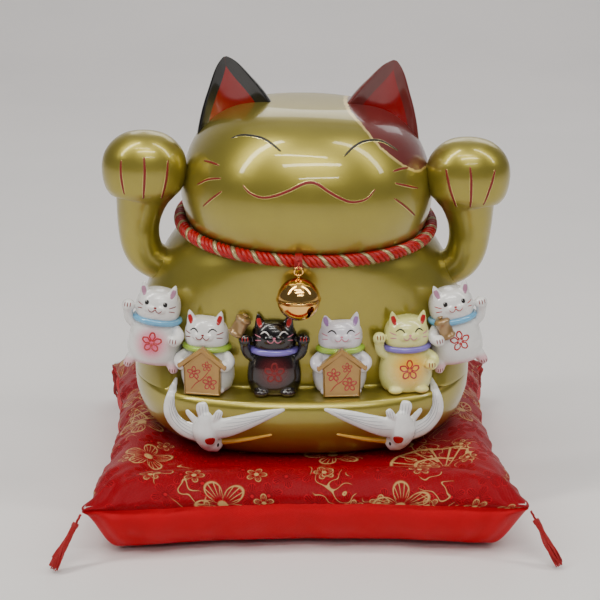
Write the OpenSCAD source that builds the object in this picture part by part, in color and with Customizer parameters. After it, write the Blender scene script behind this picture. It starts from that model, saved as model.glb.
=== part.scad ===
// Gold ceramic lucky cat with both paws raised, six small cats and two cranes
// luted to its belly, a twisted rope collar with a jingle bell, and the square
// tasselled cushion that it stands on.
//
// Millimetres. The origin is on the floor under the middle of the cushion,
// +Z is up and the cat looks along -Y.

/* [Cushion] */
// Distance between neighbouring corners of the cushion
cushion_w = 202; // [190:1:215]
// Height of the seam between the two covers
seam_z = 26; // [20:1:30]
// How far the middle of each side pulls in
side_pull = 9; // [0:0.5:11]
// Height of the puffed rim around the cat
rim_z = 37; // [33:0.5:40]
// Thickness of the cover cloth
cloth = 1.0; // [0.8:0.1:1.5]
// Length of a tassel with its cord
tassel_len = 28; // [22:1:30]

/* [Cat] */
// Height of the cat's flat base above the floor
seat_z = 33; // [32:0.5:35]
// Wall thickness of the slip-cast shells
wall = 4; // [3:0.5:5]
// Sideways lean of the neck, head and arms
lean_angle = 1.5; // [0:0.1:3]
// Height of the ledge that four small cats stand on
ledge_z = 63.5; // [60:0.5:66]
// Height of the neck joint above the floor, at the cat's sides
neck_z = 135.2; // [132:0.2:137]
// Rise of the neck joint from front to back, as a slope
neck_slope = 0.105; // [0:0.005:0.15]

/* [Collar and bell] */
// Diameter of the twisted rope
rope_d = 6; // [5:0.2:7]
// Diameter of the jingle bell
bell_d = 20; // [18:0.5:21]
// Wall thickness of the bell's pressed shells
bell_wall = 0.6; // [0.5:0.1:0.8]
// Diameter of the steel pellet in the bell
pellet_d = 4.4; // [4:0.1:5]

/* [Small cats] */
// Height of a small cat to the tips of its ears
mini_h = 40; // [36:1:42]
// Thickness of the house-shaped plaques
plaque_t = 3; // [2:0.2:4]

/* [Hidden] */

lean_pivot_z = 60;      // below this height the casting stands upright
lean_full_z = neck_z;   // from this height the lean is complete
gap = 0.3;              // air between pieces that only rest on each other
body_sides = 36;        // points round the big castings
gold = [0.77, 0.69, 0.35];

// ---------------------------------------------------------------- curves

// Power that keeps the sign of its base.
function spow(v, p) = sign(v) * pow(abs(v), p);

// Catmull-Rom point between b and c.
function spline(a, b, c, d, t) =
    0.5 * (2 * b + (c - a) * t + (2 * a - 5 * b + 4 * c - d) * t * t
           + (3 * b - a - 3 * c + d) * t * t * t);

// Rows of numbers made k times finer along a smooth curve through every row.
function finer(rows, k) = let (last = len(rows) - 1) [
    for (i = [0:last - 1]) for (j = [0:k - 1])
        spline(rows[max(i - 1, 0)], rows[i], rows[i + 1], rows[min(i + 2, last)], j / k),
    rows[last]
];

// One row finds its place in a list of rows by its first number.
function row_at(rows, z, i = 0) =
    (i >= len(rows) - 2 || z < rows[i + 1][0])
        ? let (t = (z - rows[i][0]) / (rows[i + 1][0] - rows[i][0]))
          rows[i] + (rows[i + 1] - rows[i]) * min(max(t, 0), 1)
        : row_at(rows, z, i + 1);

// Closed superellipse. A row is [z, half width, front depth, back depth, exponent, slope].
function oval(row, n, grow = 0) = [
    for (i = [0:n - 1])
        let (s = sin(360 * i / n), c = cos(360 * i / n),
             x = (row[1] + grow) * spow(c, 2 / row[4]),
             y = ((s < 0 ? row[2] : row[3]) + grow) * spow(s, 2 / row[4]))
        [x, y, row[0] + row[5] * y]
];

// The casting's own lean: nothing at the pivot, complete at the neck.
function lean_share(z) = let (t = min(max((z - lean_pivot_z) / (lean_full_z - lean_pivot_z), 0), 1))
    t * t * (3 - 2 * t);
function leaned(p) = let (a = lean_angle * lean_share(p[2]), h = p[2] - lean_pivot_z)
    [p[0] * cos(a) + h * sin(a), p[1], lean_pivot_z - p[0] * sin(a) + h * cos(a)];
module lean() translate([0, 0, lean_pivot_z]) rotate([0, lean_angle, 0])
    translate([0, 0, -lean_pivot_z]) children();

// ---------------------------------------------------------------- solids

// Faces of the band between rings a and b of n points each.
function band(a, b, n) = [
    for (i = [0:n - 1]) let (j = (i + 1) % n)
        each [[a * n + i, b * n + i, b * n + j], [a * n + i, b * n + j, a * n + j]]
];

// Solid through a stack of rings, closed by a flat face at each end.
module loft(rings) {
    n = len(rings[0]);
    m = len(rings);
    polyhedron(
        points = [for (r = rings) each r],
        faces = concat(
            [[for (i = [0:n - 1]) i]],
            [for (k = [0:m - 2]) each band(k, k + 1, n)],
            [[for (i = [0:n - 1]) m * n - 1 - i]]));
}

// Thin-walled casting, open at the first rings; its top is open or closed.
module casting(outer, inner, open_top) {
    n = len(outer[0]);
    m = len(outer);
    k = len(inner);
    polyhedron(
        points = concat([for (r = outer) each r], [for (r = inner) each r]),
        faces = concat(
            [for (i = [0:m - 2]) each band(i, i + 1, n)],
            [for (i = [0:k - 2]) each band(m + i + 1, m + i, n)],
            band(m, 0, n),
            open_top ? band(m - 1, m + k - 1, n)
                     : [[for (i = [0:n - 1]) m * n - 1 - i],
                        [for (i = [0:n - 1]) (m + k - 1) * n + i]]));
}

// Joins rounded clay pieces into one skin.
module fuse() resize([0, 0, 0]) union() children();

// Ellipsoid with its centre at p and half sizes r, turned by a.
module egg(p, r, a = [0, 0, 0], fn = 14)
    translate(p) rotate(a) scale(r) sphere(1, $fn = fn);

// Round limb through points p with radii r.
module limb(p, r, fn = 10)
    for (i = [0:len(p) - 2]) hull() {
        translate(p[i]) sphere(r[i], $fn = fn);
        translate(p[i + 1]) sphere(r[i + 1], $fn = fn);
    }

// ---------------------------------------------------------------- cushion

cushion_points_per_side = 8;
// [share of the half width, height] from the seam inwards
cushion_top = [[1, seam_z], [0.985, 30], [0.93, 34.6], [0.87, rim_z], [0.8, rim_z - 0.6],
               [0.71, seat_z - gap + 0.6], [0.64, seat_z - gap], [0.3, seat_z - gap]];
cushion_bottom = [[1, seam_z], [0.99, 20], [0.955, 11], [0.9, 4.5], [0.82, 1], [0.74, 0],
                  [0.4, 0]];

// Square outline with pulled-in sides at share s of the full size, less an inset.
function pillow(s, z, inset = 0) = let (n = cushion_points_per_side, h = s * cushion_w / 2 - inset)
    [for (k = [0:3]) for (j = [0:n - 1])
        let (u = 2 * j / n - 1, v = h - s * side_pull * (1 - u * u))
        [cos(90 * k) * h * u + sin(90 * k) * v, sin(90 * k) * h * u - cos(90 * k) * v, z]];

module cushion_top_cover() color([0.70, 0.07, 0.10])
    casting([for (r = cushion_top) pillow(r[0], r[1])],
            [for (r = cushion_top) pillow(r[0], max(r[1] - cloth, seam_z), cloth * 1.5)],
            false);

module cushion_bottom_cover() color([0.80, 0.05, 0.07])
    mirror([0, 0, 1])
    casting([for (r = cushion_bottom) pillow(r[0], -r[1])],
            [for (r = cushion_bottom) pillow(r[0], -min(r[1] + cloth, seam_z), cloth * 1.5)],
            false);

module cushion_filling() {
    clear = 0.2;
    inset = cloth * 1.5 + clear;
    color([0.93, 0.92, 0.90])
    loft(concat(
        [for (i = [len(cushion_bottom) - 1:-1:1])
            pillow(cushion_bottom[i][0], cushion_bottom[i][1] + cloth + clear, inset)],
        [for (i = [1:len(cushion_top) - 1])
            pillow(cushion_top[i][0], cushion_top[i][1] - cloth - clear, inset)]));
}

// Knot, neck and skirt of threads, hanging from one corner. The front tassels
// swing out to the sides and the back ones lie behind the cushion.
module tassel(sx, sy) color([0.72, 0.06, 0.08]) {
    reach = sy < 0 ? [13, 9] : [-3, 9];
    drop = 23;
    translate([sx * (cushion_w / 2 + 0.6), sy * (cushion_w / 2 + 0.2), seam_z - 1])
    rotate([0, 0, atan2(sy * reach[1], sx * reach[0])]) rotate([0, 180 - atan2(norm(reach), drop), 0])
    rotate_extrude($fn = 24) polygon([
        [0, 0], [0.9, 0], [0.9, 4], [2.4, 5.2], [2.9, 7], [2.4, 8.8], [1.7, 9.6],
        [2.2, 11], [2.8, 17], [3.2, tassel_len - 4], [2.9, tassel_len - 2.4], [0, tassel_len - 2]]);
}

module tassel_front_left() tassel(-1, -1);
module tassel_front_right() tassel(1, -1);
module tassel_back_left() tassel(-1, 1);
module tassel_back_right() tassel(1, 1);

// ---------------------------------------------------------------- body

// Lower bulge, from the base up to the edge of the ledge.
plinth_rows = [
    [seat_z,        61.0, 50.5, 51.0, 2.5, 0],
    [seat_z + 3.5,  69.5, 56.0, 57.5, 2.5, 0],
    [seat_z + 11,   77.0, 61.2, 63.0, 2.5, 0],
    [seat_z + 21,   80.8, 64.0, 65.5, 2.5, 0],
    [ledge_z - 3,   81.6, 64.2, 66.5, 2.5, 0],
    [ledge_z,       81.8, 61.8, 66.5, 2.5, 0]];
// Belly and shoulders, from the back of the ledge to the neck joint.
belly_rows = [
    [ledge_z,       81.8, 43.0, 66.5, 2.5, 0],
    [76,            81.4, 46.0, 66.5, 2.35, 0],
    [94,            78.2, 48.6, 64.0, 2.25, 0],
    [110,           73.0, 49.8, 60.0, 2.2, 0.02],
    [122,           66.6, 50.8, 56.0, 2.15, 0.06],
    [129,           61.2, 51.2, 53.0, 2.1, 0.09],
    [neck_z,        56.4, 50.4, 50.5, 2.1, neck_slope]];

// The niche above the ledge is open in front and fades into the flanks; this is the
// front depth that the flanks keep, as [height, depth].
flank_rows = [[ledge_z, 61.8], [76, 58.5], [94, 54.5], [110, 51.2], [122, 50.8], [129, 51.2],
              [neck_z, 50.4]];
niche_in = 54;          // the niche is full depth out to here
niche_out = 66;         // and gone from here
function fade(x) = let (t = min(max((abs(x) - niche_in) / (niche_out - niche_in), 0), 1))
    t * t * (3 - 2 * t);
function flank_share(z, x) = z < ledge_z ? 0 : fade(x) * (row_at(flank_rows, z)[1] / row_at(belly_rows, z)[2] - 1);

function body_ring(row, niche, grow = 0) = [
    for (p = oval(row, body_sides, grow))
        leaned(niche && p[1] < 0 ? [p[0], p[1] * (1 + flank_share(max(row[0], ledge_z), p[0])), p[2]]
                                 : p)];
function raised(row, dz) = row + [dz, 0, 0, 0, 0, 0];

module body_casting() color(gold) {
    vent_r = 8;     // round hole left in the base for firing
    lining = [for (z = [seat_z + wall, seat_z + 12, seat_z + 21]) let (r = row_at(plinth_rows, z))
        raised(r, z - r[0])];
    inside = finer(belly_rows, 2);
    casting(
        concat([oval([seat_z, vent_r, vent_r, vent_r, 2, 0], body_sides)],
               [for (r = finer(plinth_rows, 3)) body_ring(r, false)],
               [for (r = finer(belly_rows, 3)) body_ring(r, true)]),
        concat([oval([seat_z + wall, vent_r, vent_r, vent_r, 2, 0], body_sides)],
               [for (r = lining) body_ring(r, false, -wall)],
               [body_ring(raised(inside[0], -wall), true, -wall)],
               [for (i = [1:len(inside) - 1]) body_ring(inside[i], true, -wall)]),
        true);
}

// Front of the body: y on the skin at x and z.
function oval_y(r, x) = -r[2] * pow(1 - pow(min(abs(x) / r[1], 1), r[4]), 1 / r[4]);
function skin_y(x, z) = z < ledge_z ? oval_y(row_at(plinth_rows, z), x)
    : oval_y(row_at(belly_rows, z), x) * (1 + flank_share(z, x));

// ---------------------------------------------------------------- head

// Heights are above the neck joint.
head_rows = [
    [0,    56.4, 50.4, 50.5, 2.1, neck_slope],
    [4,    58.4, 55.5, 52.5, 2.1, 0.08],
    [14,   60.3, 59.5, 54.0, 2.15, 0.03],
    [26,   59.0, 59.5, 53.0, 2.15, 0],
    [38,   54.5, 55.0, 49.5, 2.15, 0],
    [48,   46.5, 47.0, 43.0, 2.2, 0],
    [54,   36.0, 37.0, 34.5, 2.3, 0],
    [57,   23.0, 25.0, 23.5, 2.3, 0],
    [57.8, 9.0,  11.0, 10.0, 2.2, 0]];
function head_ring(row, grow = 0) = oval(raised(row, neck_z), body_sides, grow);

module head_casting() color(gold) lean() {
    inside = [for (i = [0:5]) head_rows[i]];
    casting([for (r = finer(head_rows, 2)) head_ring(r)],
            concat([for (r = inside) head_ring(r, -wall)],
                   [head_ring([53, 30, 31, 29, 2.3, 0], 0), head_ring([53.6, 8, 10, 9, 2.2, 0], 0)]),
            false);
}

// An ear rises from a slanting foot on the crown; its front is scooped out.
// Left ear; points are in the plane of the face.
ear_outer_foot = [-53.5, 171];
ear_inner_foot = [-14, 186];
ear_tip = [-40.4, 213.6];
ear_y = 0.5;              // middle of the ear's thickness
ear_back = 10;          // how far its back bulges
ear_rim = 9;            // how far its rim stands forward of its middle
ear_scoop = 10;         // how deep its front is scooped below the rim

function ear_ring(t, n) = let (
        bulge = 4.0 * t * (1 - t),
        o = ear_outer_foot + (ear_tip - ear_outer_foot) * t + bulge * [-2.2, 1.5],
        i = ear_inner_foot + (ear_tip - ear_inner_foot) * t + bulge * [2.0, 1.8],
        m = (o + i) / 2, h = (i - o) / 2, slim = pow(1 - t, 0.8))
    [for (k = [0:n - 1])
        let (c = cos(360 * k / n), s = sin(360 * k / n), f = abs(s),
             y = s > 0 ? ear_back * slim * f
                       : slim * (ear_scoop * f * f - ear_rim * pow(f, 0.4)))
        [m[0] + h[0] * c, ear_y + y, m[1] + h[1] * c]];

module ear_shape() loft([for (t = [0, 0.2, 0.4, 0.6, 0.75, 0.87, 0.95, 0.985]) ear_ring(t, 24)]);
module left_ear() color([0.10, 0.09, 0.09]) lean() ear_shape();
module right_ear() color([0.38, 0.12, 0.10]) lean() mirror([1, 0, 0]) ear_shape();

// ---------------------------------------------------------------- arms

// Middle line of the left arm and the paw, as [x, y, z, half width, half depth].
arm_rows = [
    [-66.5, -5, 111.4, 8.4, 8.8],
    [-71.2, -6, 113.7, 8.7, 9.0],
    [-76.2, -7, 117.6, 9.1, 9.3],
    [-79.0, -8, 123.5, 9.5, 9.6],
    [-80.0, -9, 130.5, 9.8, 10.0],
    [-79.8, -11, 138.0, 10.6, 10.8],
    [-79.0, -12, 144.0, 11.8, 12.0],
    [-78.2, -13, 148.0, 12.8, 12.8]];
paw_rows = [
    [-77.8, -14, 149.4, 15.6, 14.2],
    [-77.4, -15, 153.0, 18.2, 15.6],
    [-77.2, -15, 158.5, 19.8, 16.4],
    [-77.2, -15, 164.5, 20.0, 16.5],
    [-77.2, -15, 170.0, 18.6, 15.4],
    [-77.2, -15, 175.0, 15.0, 12.6],
    [-77.2, -15, 178.6, 9.6, 8.2],
    [-77.2, -15, 180.2, 2.6, 2.2]];

// Ring square to the middle line, which runs from p towards q.
function arm_ring(row, from, to, n, grow = 0) = let (
        d = [to[0] - from[0], to[2] - from[2]], u = d / norm(d))
    [for (k = [0:n - 1]) let (c = cos(360 * k / n) * (row[3] + grow), s = sin(360 * k / n) * (row[4] + grow))
        [row[0] + u[1] * c, row[1] + s, row[2] - u[0] * c]];
function arm_rings(rows, n, grow = 0) = [for (i = [0:len(rows) - 1])
    arm_ring(rows[i], rows[max(i - 1, 0)], rows[min(i + 1, len(rows) - 1)], n, grow)];
function paw_ring(row, n, grow = 0) = arm_ring(row, [0, 0, 0], [0, 0, 1], n, grow);

right_arm_in = 1.4;     // the right arm was luted on a little further in
module arm_shape() {
    n = 22;
    tube = finer(arm_rows, 1);
    bore = -3;
    casting(
        concat(arm_rings(tube, n), [for (r = paw_rows) paw_ring(r, n)]),
        concat(arm_rings(tube, n, bore),
               [for (i = [1:6]) paw_ring(raised_arm(paw_rows[i], -0.6), n, bore)]),
        false);
}
function raised_arm(row, dz) = row + [0, 0, dz, 0, 0];
module left_arm() color(gold) lean() arm_shape();
module right_arm() color(gold) lean() translate([-right_arm_in, 0, 0]) mirror([1, 0, 0]) arm_shape();

// ---------------------------------------------------------------- collar

rope_half_w = 60.6;     // to the middle of the rope
rope_front = 54.8;
rope_back = 54;
rope_rings = 72;
rope_sides = 10;

module collar_rope() color([0.75, 0.10, 0.08]) lean() {
    path = oval([neck_z, rope_half_w, rope_front, rope_back, 2.1, neck_slope], rope_rings);
    rings = [for (i = [0:rope_rings - 1]) let (
            d = path[(i + 1) % rope_rings] - path[(i + rope_rings - 1) % rope_rings],
            t = d / norm(d), side = cross(t, [0, 0, 1]), out = side / norm(side), up = cross(out, t))
        [for (k = [0:rope_sides - 1]) let (a = 360 * k / rope_sides)
            path[i] + rope_d / 2 * (out * cos(a) + up * sin(a))]];
    polyhedron(points = [for (r = rings) each r],
        faces = [for (i = [0:rope_rings - 1]) each band((i + 1) % rope_rings, i, rope_sides)]);
}

// Bow-less knot where the rope's ends are tied behind the neck.
module rope_knot() color([0.70, 0.08, 0.08]) lean() {
    z = neck_z + neck_slope * rope_back;
    y = rope_back + rope_d / 2 + gap;
    fuse() {
        egg([0, y + 4, z], [7, 4, 5]);
        for (s = [-1, 1])
            limb([[s * 3, y + 4, z - 2], [s * 6, y + 6, z - 12], [s * 8, y + 7, z - 24]], [3, 2.6, 3]);
    }
}

// ---------------------------------------------------------------- bell

bell_x = -2.7;
bell_y = -62;
bell_z = 113.8;
bell_r = bell_d / 2;
wire = 0.45;            // radius of the ring's, loop's and thread's section
play = 0.06;            // clearance between linked wires
loop_r = 1.35;
loop_z = bell_z + bell_r + 0.75;
ring_r = 1.9;
ring_low_z = loop_z + loop_r - 2 * wire - play;     // bell swings about this wire
ring_z = ring_low_z + ring_r;
tie_z = ring_z + ring_r - 2 * wire - play;          // ring swings about this thread
eye_r = 1.5;

module wire_ring(p, r, turn) translate(p) rotate(turn)
    rotate_extrude($fn = 32) translate([r, 0]) circle(wire, $fn = 16);

// Red thread wound round the rope, with the eye that the ring hangs from.
module bell_tie() color([0.70, 0.05, 0.08]) {
    rope_y = -rope_front;
    rope_z = neck_z - neck_slope * rope_front;
    for (i = [-1:1]) translate([bell_x + 0.95 * i, rope_y, rope_z]) rotate([0, 90, 0])
        rotate_extrude($fn = 40) translate([rope_d / 2 + wire + 0.1, 0]) circle(wire, $fn = 16);
    wire_ring([bell_x, bell_y, tie_z + eye_r], eye_r, [0, 90, 0]);
    translate([bell_x, rope_y - rope_d / 2 - 2 * wire, tie_z + eye_r]) sphere(1.2, $fn = 20);
}

module split_ring() color([0.85, 0.65, 0.25])
    wire_ring([bell_x, bell_y, ring_z], ring_r, [90, 0, 0]);

module bell_loop() color([0.85, 0.65, 0.25])
    difference() {
        wire_ring([bell_x, bell_y, loop_z], loop_r, [0, 90, 0]);
        translate([bell_x, bell_y, bell_z]) sphere(bell_r + 0.02, $fn = 48);
    }

module bell_shell(top) translate([bell_x, bell_y, bell_z]) difference() {
    union() {
        sphere(bell_r, $fn = 48);
        translate([0, 0, top ? 0 : -0.7]) cylinder(h = 0.7, r = bell_r + 0.35, $fn = 48);
    }
    sphere(bell_r - bell_wall, $fn = 48);
    translate([0, 0, top ? -2 * bell_r : 0]) translate([-2 * bell_r, -2 * bell_r, 0])
        cube([4 * bell_r, 4 * bell_r, 2 * bell_r]);
}

module bell_upper_shell() color([0.95, 0.72, 0.25]) bell_shell(true);

slot_turn = 35;         // the slot runs towards the front right
slot_w = 2;
slot_hole_r = 2;
module bell_lower_shell() color([0.95, 0.72, 0.25]) difference() {
    bell_shell(false);
    translate([bell_x, bell_y, bell_z]) rotate([0, 0, -90 + slot_turn]) {
        translate([-1.2 * bell_r, -slot_w / 2, -1.2 * bell_r])
            cube([2.4 * bell_r, slot_w, 1.2 * bell_r - 3.2]);
        translate([0, 0, -3.2]) rotate([0, 90, 0])
            cylinder(h = 2.4 * bell_r, r = slot_hole_r, center = true, $fn = 32);
    }
}

module bell_pellet() color([0.6, 0.6, 0.62])
    translate([bell_x, bell_y, bell_z - (bell_r - bell_wall - pellet_d / 2 - 0.15)])
    sphere(pellet_d / 2, $fn = 32);

// ---------------------------------------------------------------- small cats

// Body and head of one small cat, standing on its flat base and looking along -Y.
mini_rows = [
    [0,    9.6, 7.2, 7.2, 2.2, 0],
    [1.5,  11.3, 8.6, 8.6, 2.2, 0],
    [7,    12.8, 9.6, 9.4, 2.2, 0],
    [14,   12.2, 9.2, 8.8, 2.2, 0],
    [19,   10.3, 7.8, 7.6, 2.2, 0],
    [21.5, 9.2,  7.2, 7.2, 2.2, 0],
    [24,   10.4, 8.8, 8.0, 2.2, 0],
    [28.5, 10.6, 9.2, 8.2, 2.2, 0],
    [32.5, 9.4,  8.0, 7.4, 2.2, 0],
    [35.3, 6.2,  5.6, 5.4, 2.2, 0],
    [36,   2.5,  2.2, 2.2, 2.2, 0]];

module mini_torso() scale(mini_h / 40) loft([for (r = mini_rows) oval(r, 18)]);
module mini_ears() for (s = [-1, 1]) hull() {
    translate([s * 7.6, -3, 38.7]) sphere(0.9, $fn = 8);
    translate([s * 8.6, -3, 31]) sphere(1.6, $fn = 8);
    translate([s * 3.6, -3, 34]) sphere(1.6, $fn = 8);
}
// left and right are the paw's place: 0 holds the belly, 1 is raised beside the cheek.
module mini_arm(s, raised, r = 3.1)
    if (raised == 1) limb([[s * 9.5, -2, 17.5], [s * 13.2, -3, 21], [s * 13.6, -4, 26.5]], [2.4, 2.4, r]);
    else limb([[s * 9.5, -3, 18], [s * 12.2, -6.5, 16], [s * 10.4, -9, 14.5]], [2.6, 2.7, r]);

module mini_cat(left, right, feet = false) {
    mini_torso();
    mini_ears();
    translate([0, 0, 21.4]) scale([1.36, 1.06, 1]) rotate_extrude($fn = 24)
        translate([7.6, 0]) circle(1.3, $fn = 8);
    mini_arm(-1, left);
    mini_arm(1, right);
    if (feet) for (s = [-1, 1]) limb([[s * 8.5, -3, 3], [s * 11, -5, -1.5]], [3, 2.2]);
}

// Everything behind the belly's tangent plane at x and z, sunk a little into the skin.
module behind_belly(x, z, sink = 0.6) {
    step = 0.5;
    y = skin_y(x, z);
    dx = (skin_y(x + step, z) - skin_y(x - step, z)) / (2 * step);
    dz = (skin_y(x, z + step) - skin_y(x, z - step)) / (2 * step);
    out = [dx, -1, dz] / norm([dx, -1, dz]);
    side = cross(out, [0, 0, 1]) / norm(cross(out, [0, 0, 1]));
    up = cross(side, out);
    p = [x, y, z] - sink * out;
    multmatrix([for (i = [0:2]) [side[i], -out[i], up[i], p[i]]])
        translate([-60, 0, -60]) cube([120, 60, 120]);
}

// Places of the small cats: [x, y, z of the base, yaw, roll].
place_far_left = [-71.3, -37, 76, -8, 7];
place_white = [-45.2, -41.5, ledge_z, -12, 0];
place_black = [-13.8, -46.5, ledge_z, 0, 0];
place_lilac = [17, -45, ledge_z, 3, 0];
place_yellow = [48.2, -43.5, ledge_z, 8, 0];
place_far_right = [73.8, -36, 75.5, 10, -9];

module at(place) translate([place[0], place[1], place[2]]) rotate([0, place[4], place[3]]) children();

// A small cat at its place, its back pressed to the belly at x and z.
module on_belly(place, x, z) resize([0, 0, 0]) difference() {
    at(place) children();
    behind_belly(x, z);
}

module mini_cat_far_left() color("white") on_belly(place_far_left, -66, 92) mini_cat(1, 0, true);
module mini_cat_white() color("white") on_belly(place_white, -42, 82) mini_cat(0, 0);
module mini_cat_black() color([0.08, 0.07, 0.07]) on_belly(place_black, -13.8, 82) mini_cat(1, 1);
module mini_cat_lilac() color([0.84, 0.82, 0.93]) on_belly(place_lilac, 17, 82) mini_cat(0, 0);
module mini_cat_yellow() color([0.86, 0.86, 0.62]) on_belly(place_yellow, 45, 82) mini_cat(1, 0);
module mini_cat_far_right() color("white") on_belly(place_far_right, 68, 92) mini_cat(0, 1, true);

// House-shaped plaque held in front of the belly, with a roof ridge along its gable.
module plaque(place) color([0.72, 0.55, 0.25]) at(place)
    translate([0, -8.8, 0.6]) rotate([90, 0, 0]) {
        linear_extrude(plaque_t)
            polygon([[-8.6, 0], [8.6, 0], [8.9, 14], [0, 21.5], [-8.9, 14]]);
        linear_extrude(plaque_t + 0.7)
            polygon([[0, 23.4], [-12, 14.4], [-11, 12.6], [0, 20.8], [11, 12.6], [12, 14.4]]);
    }
module plaque_left() plaque(place_white);
module plaque_right() plaque(place_lilac);

// Lucky mallet: a waisted barrel with a small knob, standing proud of the belly.
module mallet(p, turn) color([0.62, 0.48, 0.28]) translate(p) rotate(turn) {
    rotate_extrude($fn = 32) polygon([[0, -5], [3.3, -5], [3.9, -4], [3.4, 0], [3.9, 4], [3.3, 5], [0, 5]]);
    translate([0, 0, 5]) sphere(1.5, $fn = 20);
}
module mallet_left() mallet([-29.8, -49.2, 96.6], [0, 28, 0]);
module mallet_right() mallet([66.3, -44.5, 93.4], [0, -22, 0]);

// ---------------------------------------------------------------- cranes

// Limb that follows the skin of the plinth; points are [x, z, radius].
module skin_limb(points) limb(
    [for (p = points) [p[0], skin_y(p[0], p[1]) - 0.35 * p[2], p[1]]],
    [for (p = points) p[2]], 8);

// One crane gliding down over the plinth: body, head, bill, tail, legs and two wings.
module crane() color("white") fuse() {
    skin_limb([[-45.5, 55, 3], [-45.5, 47, 5], [-43.5, 40, 4.2], [-40.5, 39.5, 3.6]]);
    skin_limb([[-38, 41.5, 1.6], [-28, 44, 1.1], [-15.6, 47.3, 0.7]]);
    skin_limb([[-46, 53, 3], [-47.6, 59.6, 3.2]]);
    skin_limb([[-49, 50, 2.4], [-54.5, 56, 1.5]]);
    skin_limb([[-42.5, 52, 2.4], [-39.6, 57.6, 2]]);
    skin_limb([[-44, 48, 4], [-36, 51, 3.6], [-25, 56, 2.6], [-17, 58.8, 1.8], [-10, 60.6, 1]]);
    skin_limb([[-48, 45, 4], [-56, 46, 3.2], [-62.5, 52, 2.4], [-63.2, 60, 1.9], [-61.5, 67, 1]]);
}
module crane_left() crane();
module crane_right() mirror([1, 0, 0]) crane();

cushion_bottom_cover();
cushion_top_cover();
cushion_filling();
tassel_front_left();
tassel_front_right();
tassel_back_left();
tassel_back_right();
body_casting();
head_casting();
left_ear();
right_ear();
left_arm();
right_arm();
collar_rope();
rope_knot();
bell_tie();
split_ring();
bell_upper_shell();
bell_lower_shell();
bell_loop();
bell_pellet();
mini_cat_far_left();
mini_cat_white();
mini_cat_black();
mini_cat_lilac();
mini_cat_yellow();
mini_cat_far_right();
plaque_left();
plaque_right();
mallet_left();
mallet_right();
crane_left();
crane_right();
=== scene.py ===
"""Gold ceramic lucky cat on its brocade cushion.

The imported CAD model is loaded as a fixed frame. The classes below build the visible
castings, small figures, collar, bell and cushion round it, in metres and at rest.
"""
from __future__ import annotations

import logging
import math
import random
from dataclasses import dataclass
from enum import Enum
from typing import Callable, Iterable, Sequence

import bmesh
import bpy
import numpy as np
from mathutils import Matrix, Vector
from mathutils.bvhtree import BVHTree

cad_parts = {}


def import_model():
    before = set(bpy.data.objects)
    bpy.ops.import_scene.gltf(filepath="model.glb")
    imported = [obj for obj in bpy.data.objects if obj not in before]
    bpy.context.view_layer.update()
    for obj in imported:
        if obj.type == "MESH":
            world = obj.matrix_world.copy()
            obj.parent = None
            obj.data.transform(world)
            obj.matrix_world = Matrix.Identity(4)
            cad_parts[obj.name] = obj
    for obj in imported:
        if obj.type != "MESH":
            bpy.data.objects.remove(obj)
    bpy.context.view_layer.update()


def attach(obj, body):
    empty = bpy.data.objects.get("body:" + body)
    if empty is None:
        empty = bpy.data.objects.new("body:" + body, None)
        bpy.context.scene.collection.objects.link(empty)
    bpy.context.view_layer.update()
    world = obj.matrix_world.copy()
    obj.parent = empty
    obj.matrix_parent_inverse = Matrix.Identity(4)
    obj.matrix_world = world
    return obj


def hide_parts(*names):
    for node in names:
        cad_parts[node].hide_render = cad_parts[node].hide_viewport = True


log = logging.getLogger("lucky_cat")
MM = 0.001
TAU = 2 * math.pi
Row = Sequence[float]
Point = Sequence[float]

LEAN_DEG = 1.5          # the cast neck, head and arms lean sideways
LEAN_PIVOT_Z = 60.0
SEAT_Z = 33.0           # underside of the cat
LEDGE_Z = 63.5          # ledge that four small cats stand on
NECK_Z = 135.2
NECK_SLOPE = 0.105
FINISH_PREFIX = "cat_"  # keeps these finishes apart from the frame's own plain materials
CLAY_VOXEL = 0.42       # cell of the small figures' skin
CLAY_PASSES = 5         # softening passes over their joints
UV_MM = 100.0           # millimetres of cloth to one unit of its map
RAY_BACK = 0.25         # how far in front of the cat a brush stroke is cast from, in metres
FRONT = Vector((0, 1, 0))   # direction in which the paint is pressed on


# ------------------------------------------------------------------ curves and rings

def spline(rows: Sequence[Row], steps: int) -> np.ndarray:
    """Catmull-Rom curve through every row.

    Args:
        rows: Control rows of equal length.
        steps: Points made from each row to the next.

    Returns:
        The finer rows, with the last control row at the end.
    """
    p = np.asarray(rows, float)
    last = len(p) - 1
    out = []
    for i in range(last):
        a, b, c, d = p[max(i - 1, 0)], p[i], p[i + 1], p[min(i + 2, last)]
        for j in range(steps):
            t = j / steps
            out.append(0.5 * (2 * b + (c - a) * t + (2 * a - 5 * b + 4 * c - d) * t * t
                              + (3 * b - a - 3 * c + d) * t ** 3))
    out.append(p[last])
    return np.array(out)


def row_at(rows: np.ndarray, z: float) -> np.ndarray:
    """The row at height z, between its neighbours."""
    rows = np.asarray(rows, float)
    return np.array([np.interp(z, rows[:, 0], rows[:, k]) for k in range(rows.shape[1])])


def oval(row: Row, count: int) -> np.ndarray:
    """Closed superellipse ring.

    Args:
        row: Height, half width, front depth, back depth, exponent and slope.
        count: Points round the ring.

    Returns:
        An array of count points in millimetres.
    """
    a = np.linspace(0, TAU, count, endpoint=False)
    c, s = np.cos(a), np.sin(a)
    power = 2 / row[4]
    x = row[1] * np.sign(c) * np.abs(c) ** power
    depth = np.where(s < 0, row[2], row[3])
    y = depth * np.sign(s) * np.abs(s) ** power
    return np.stack([x, y, row[0] + row[5] * y], 1)


def even_ring(ring: np.ndarray) -> np.ndarray:
    """The same closed outline with its points spaced evenly along it."""
    closed = np.vstack([ring, ring[:1]])
    run = np.concatenate([[0], np.cumsum(np.linalg.norm(np.diff(closed, axis=0), axis=1))])
    at = np.linspace(0, run[-1], len(ring), endpoint=False)
    return np.stack([np.interp(at, run, closed[:, k]) for k in range(3)], 1)


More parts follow.
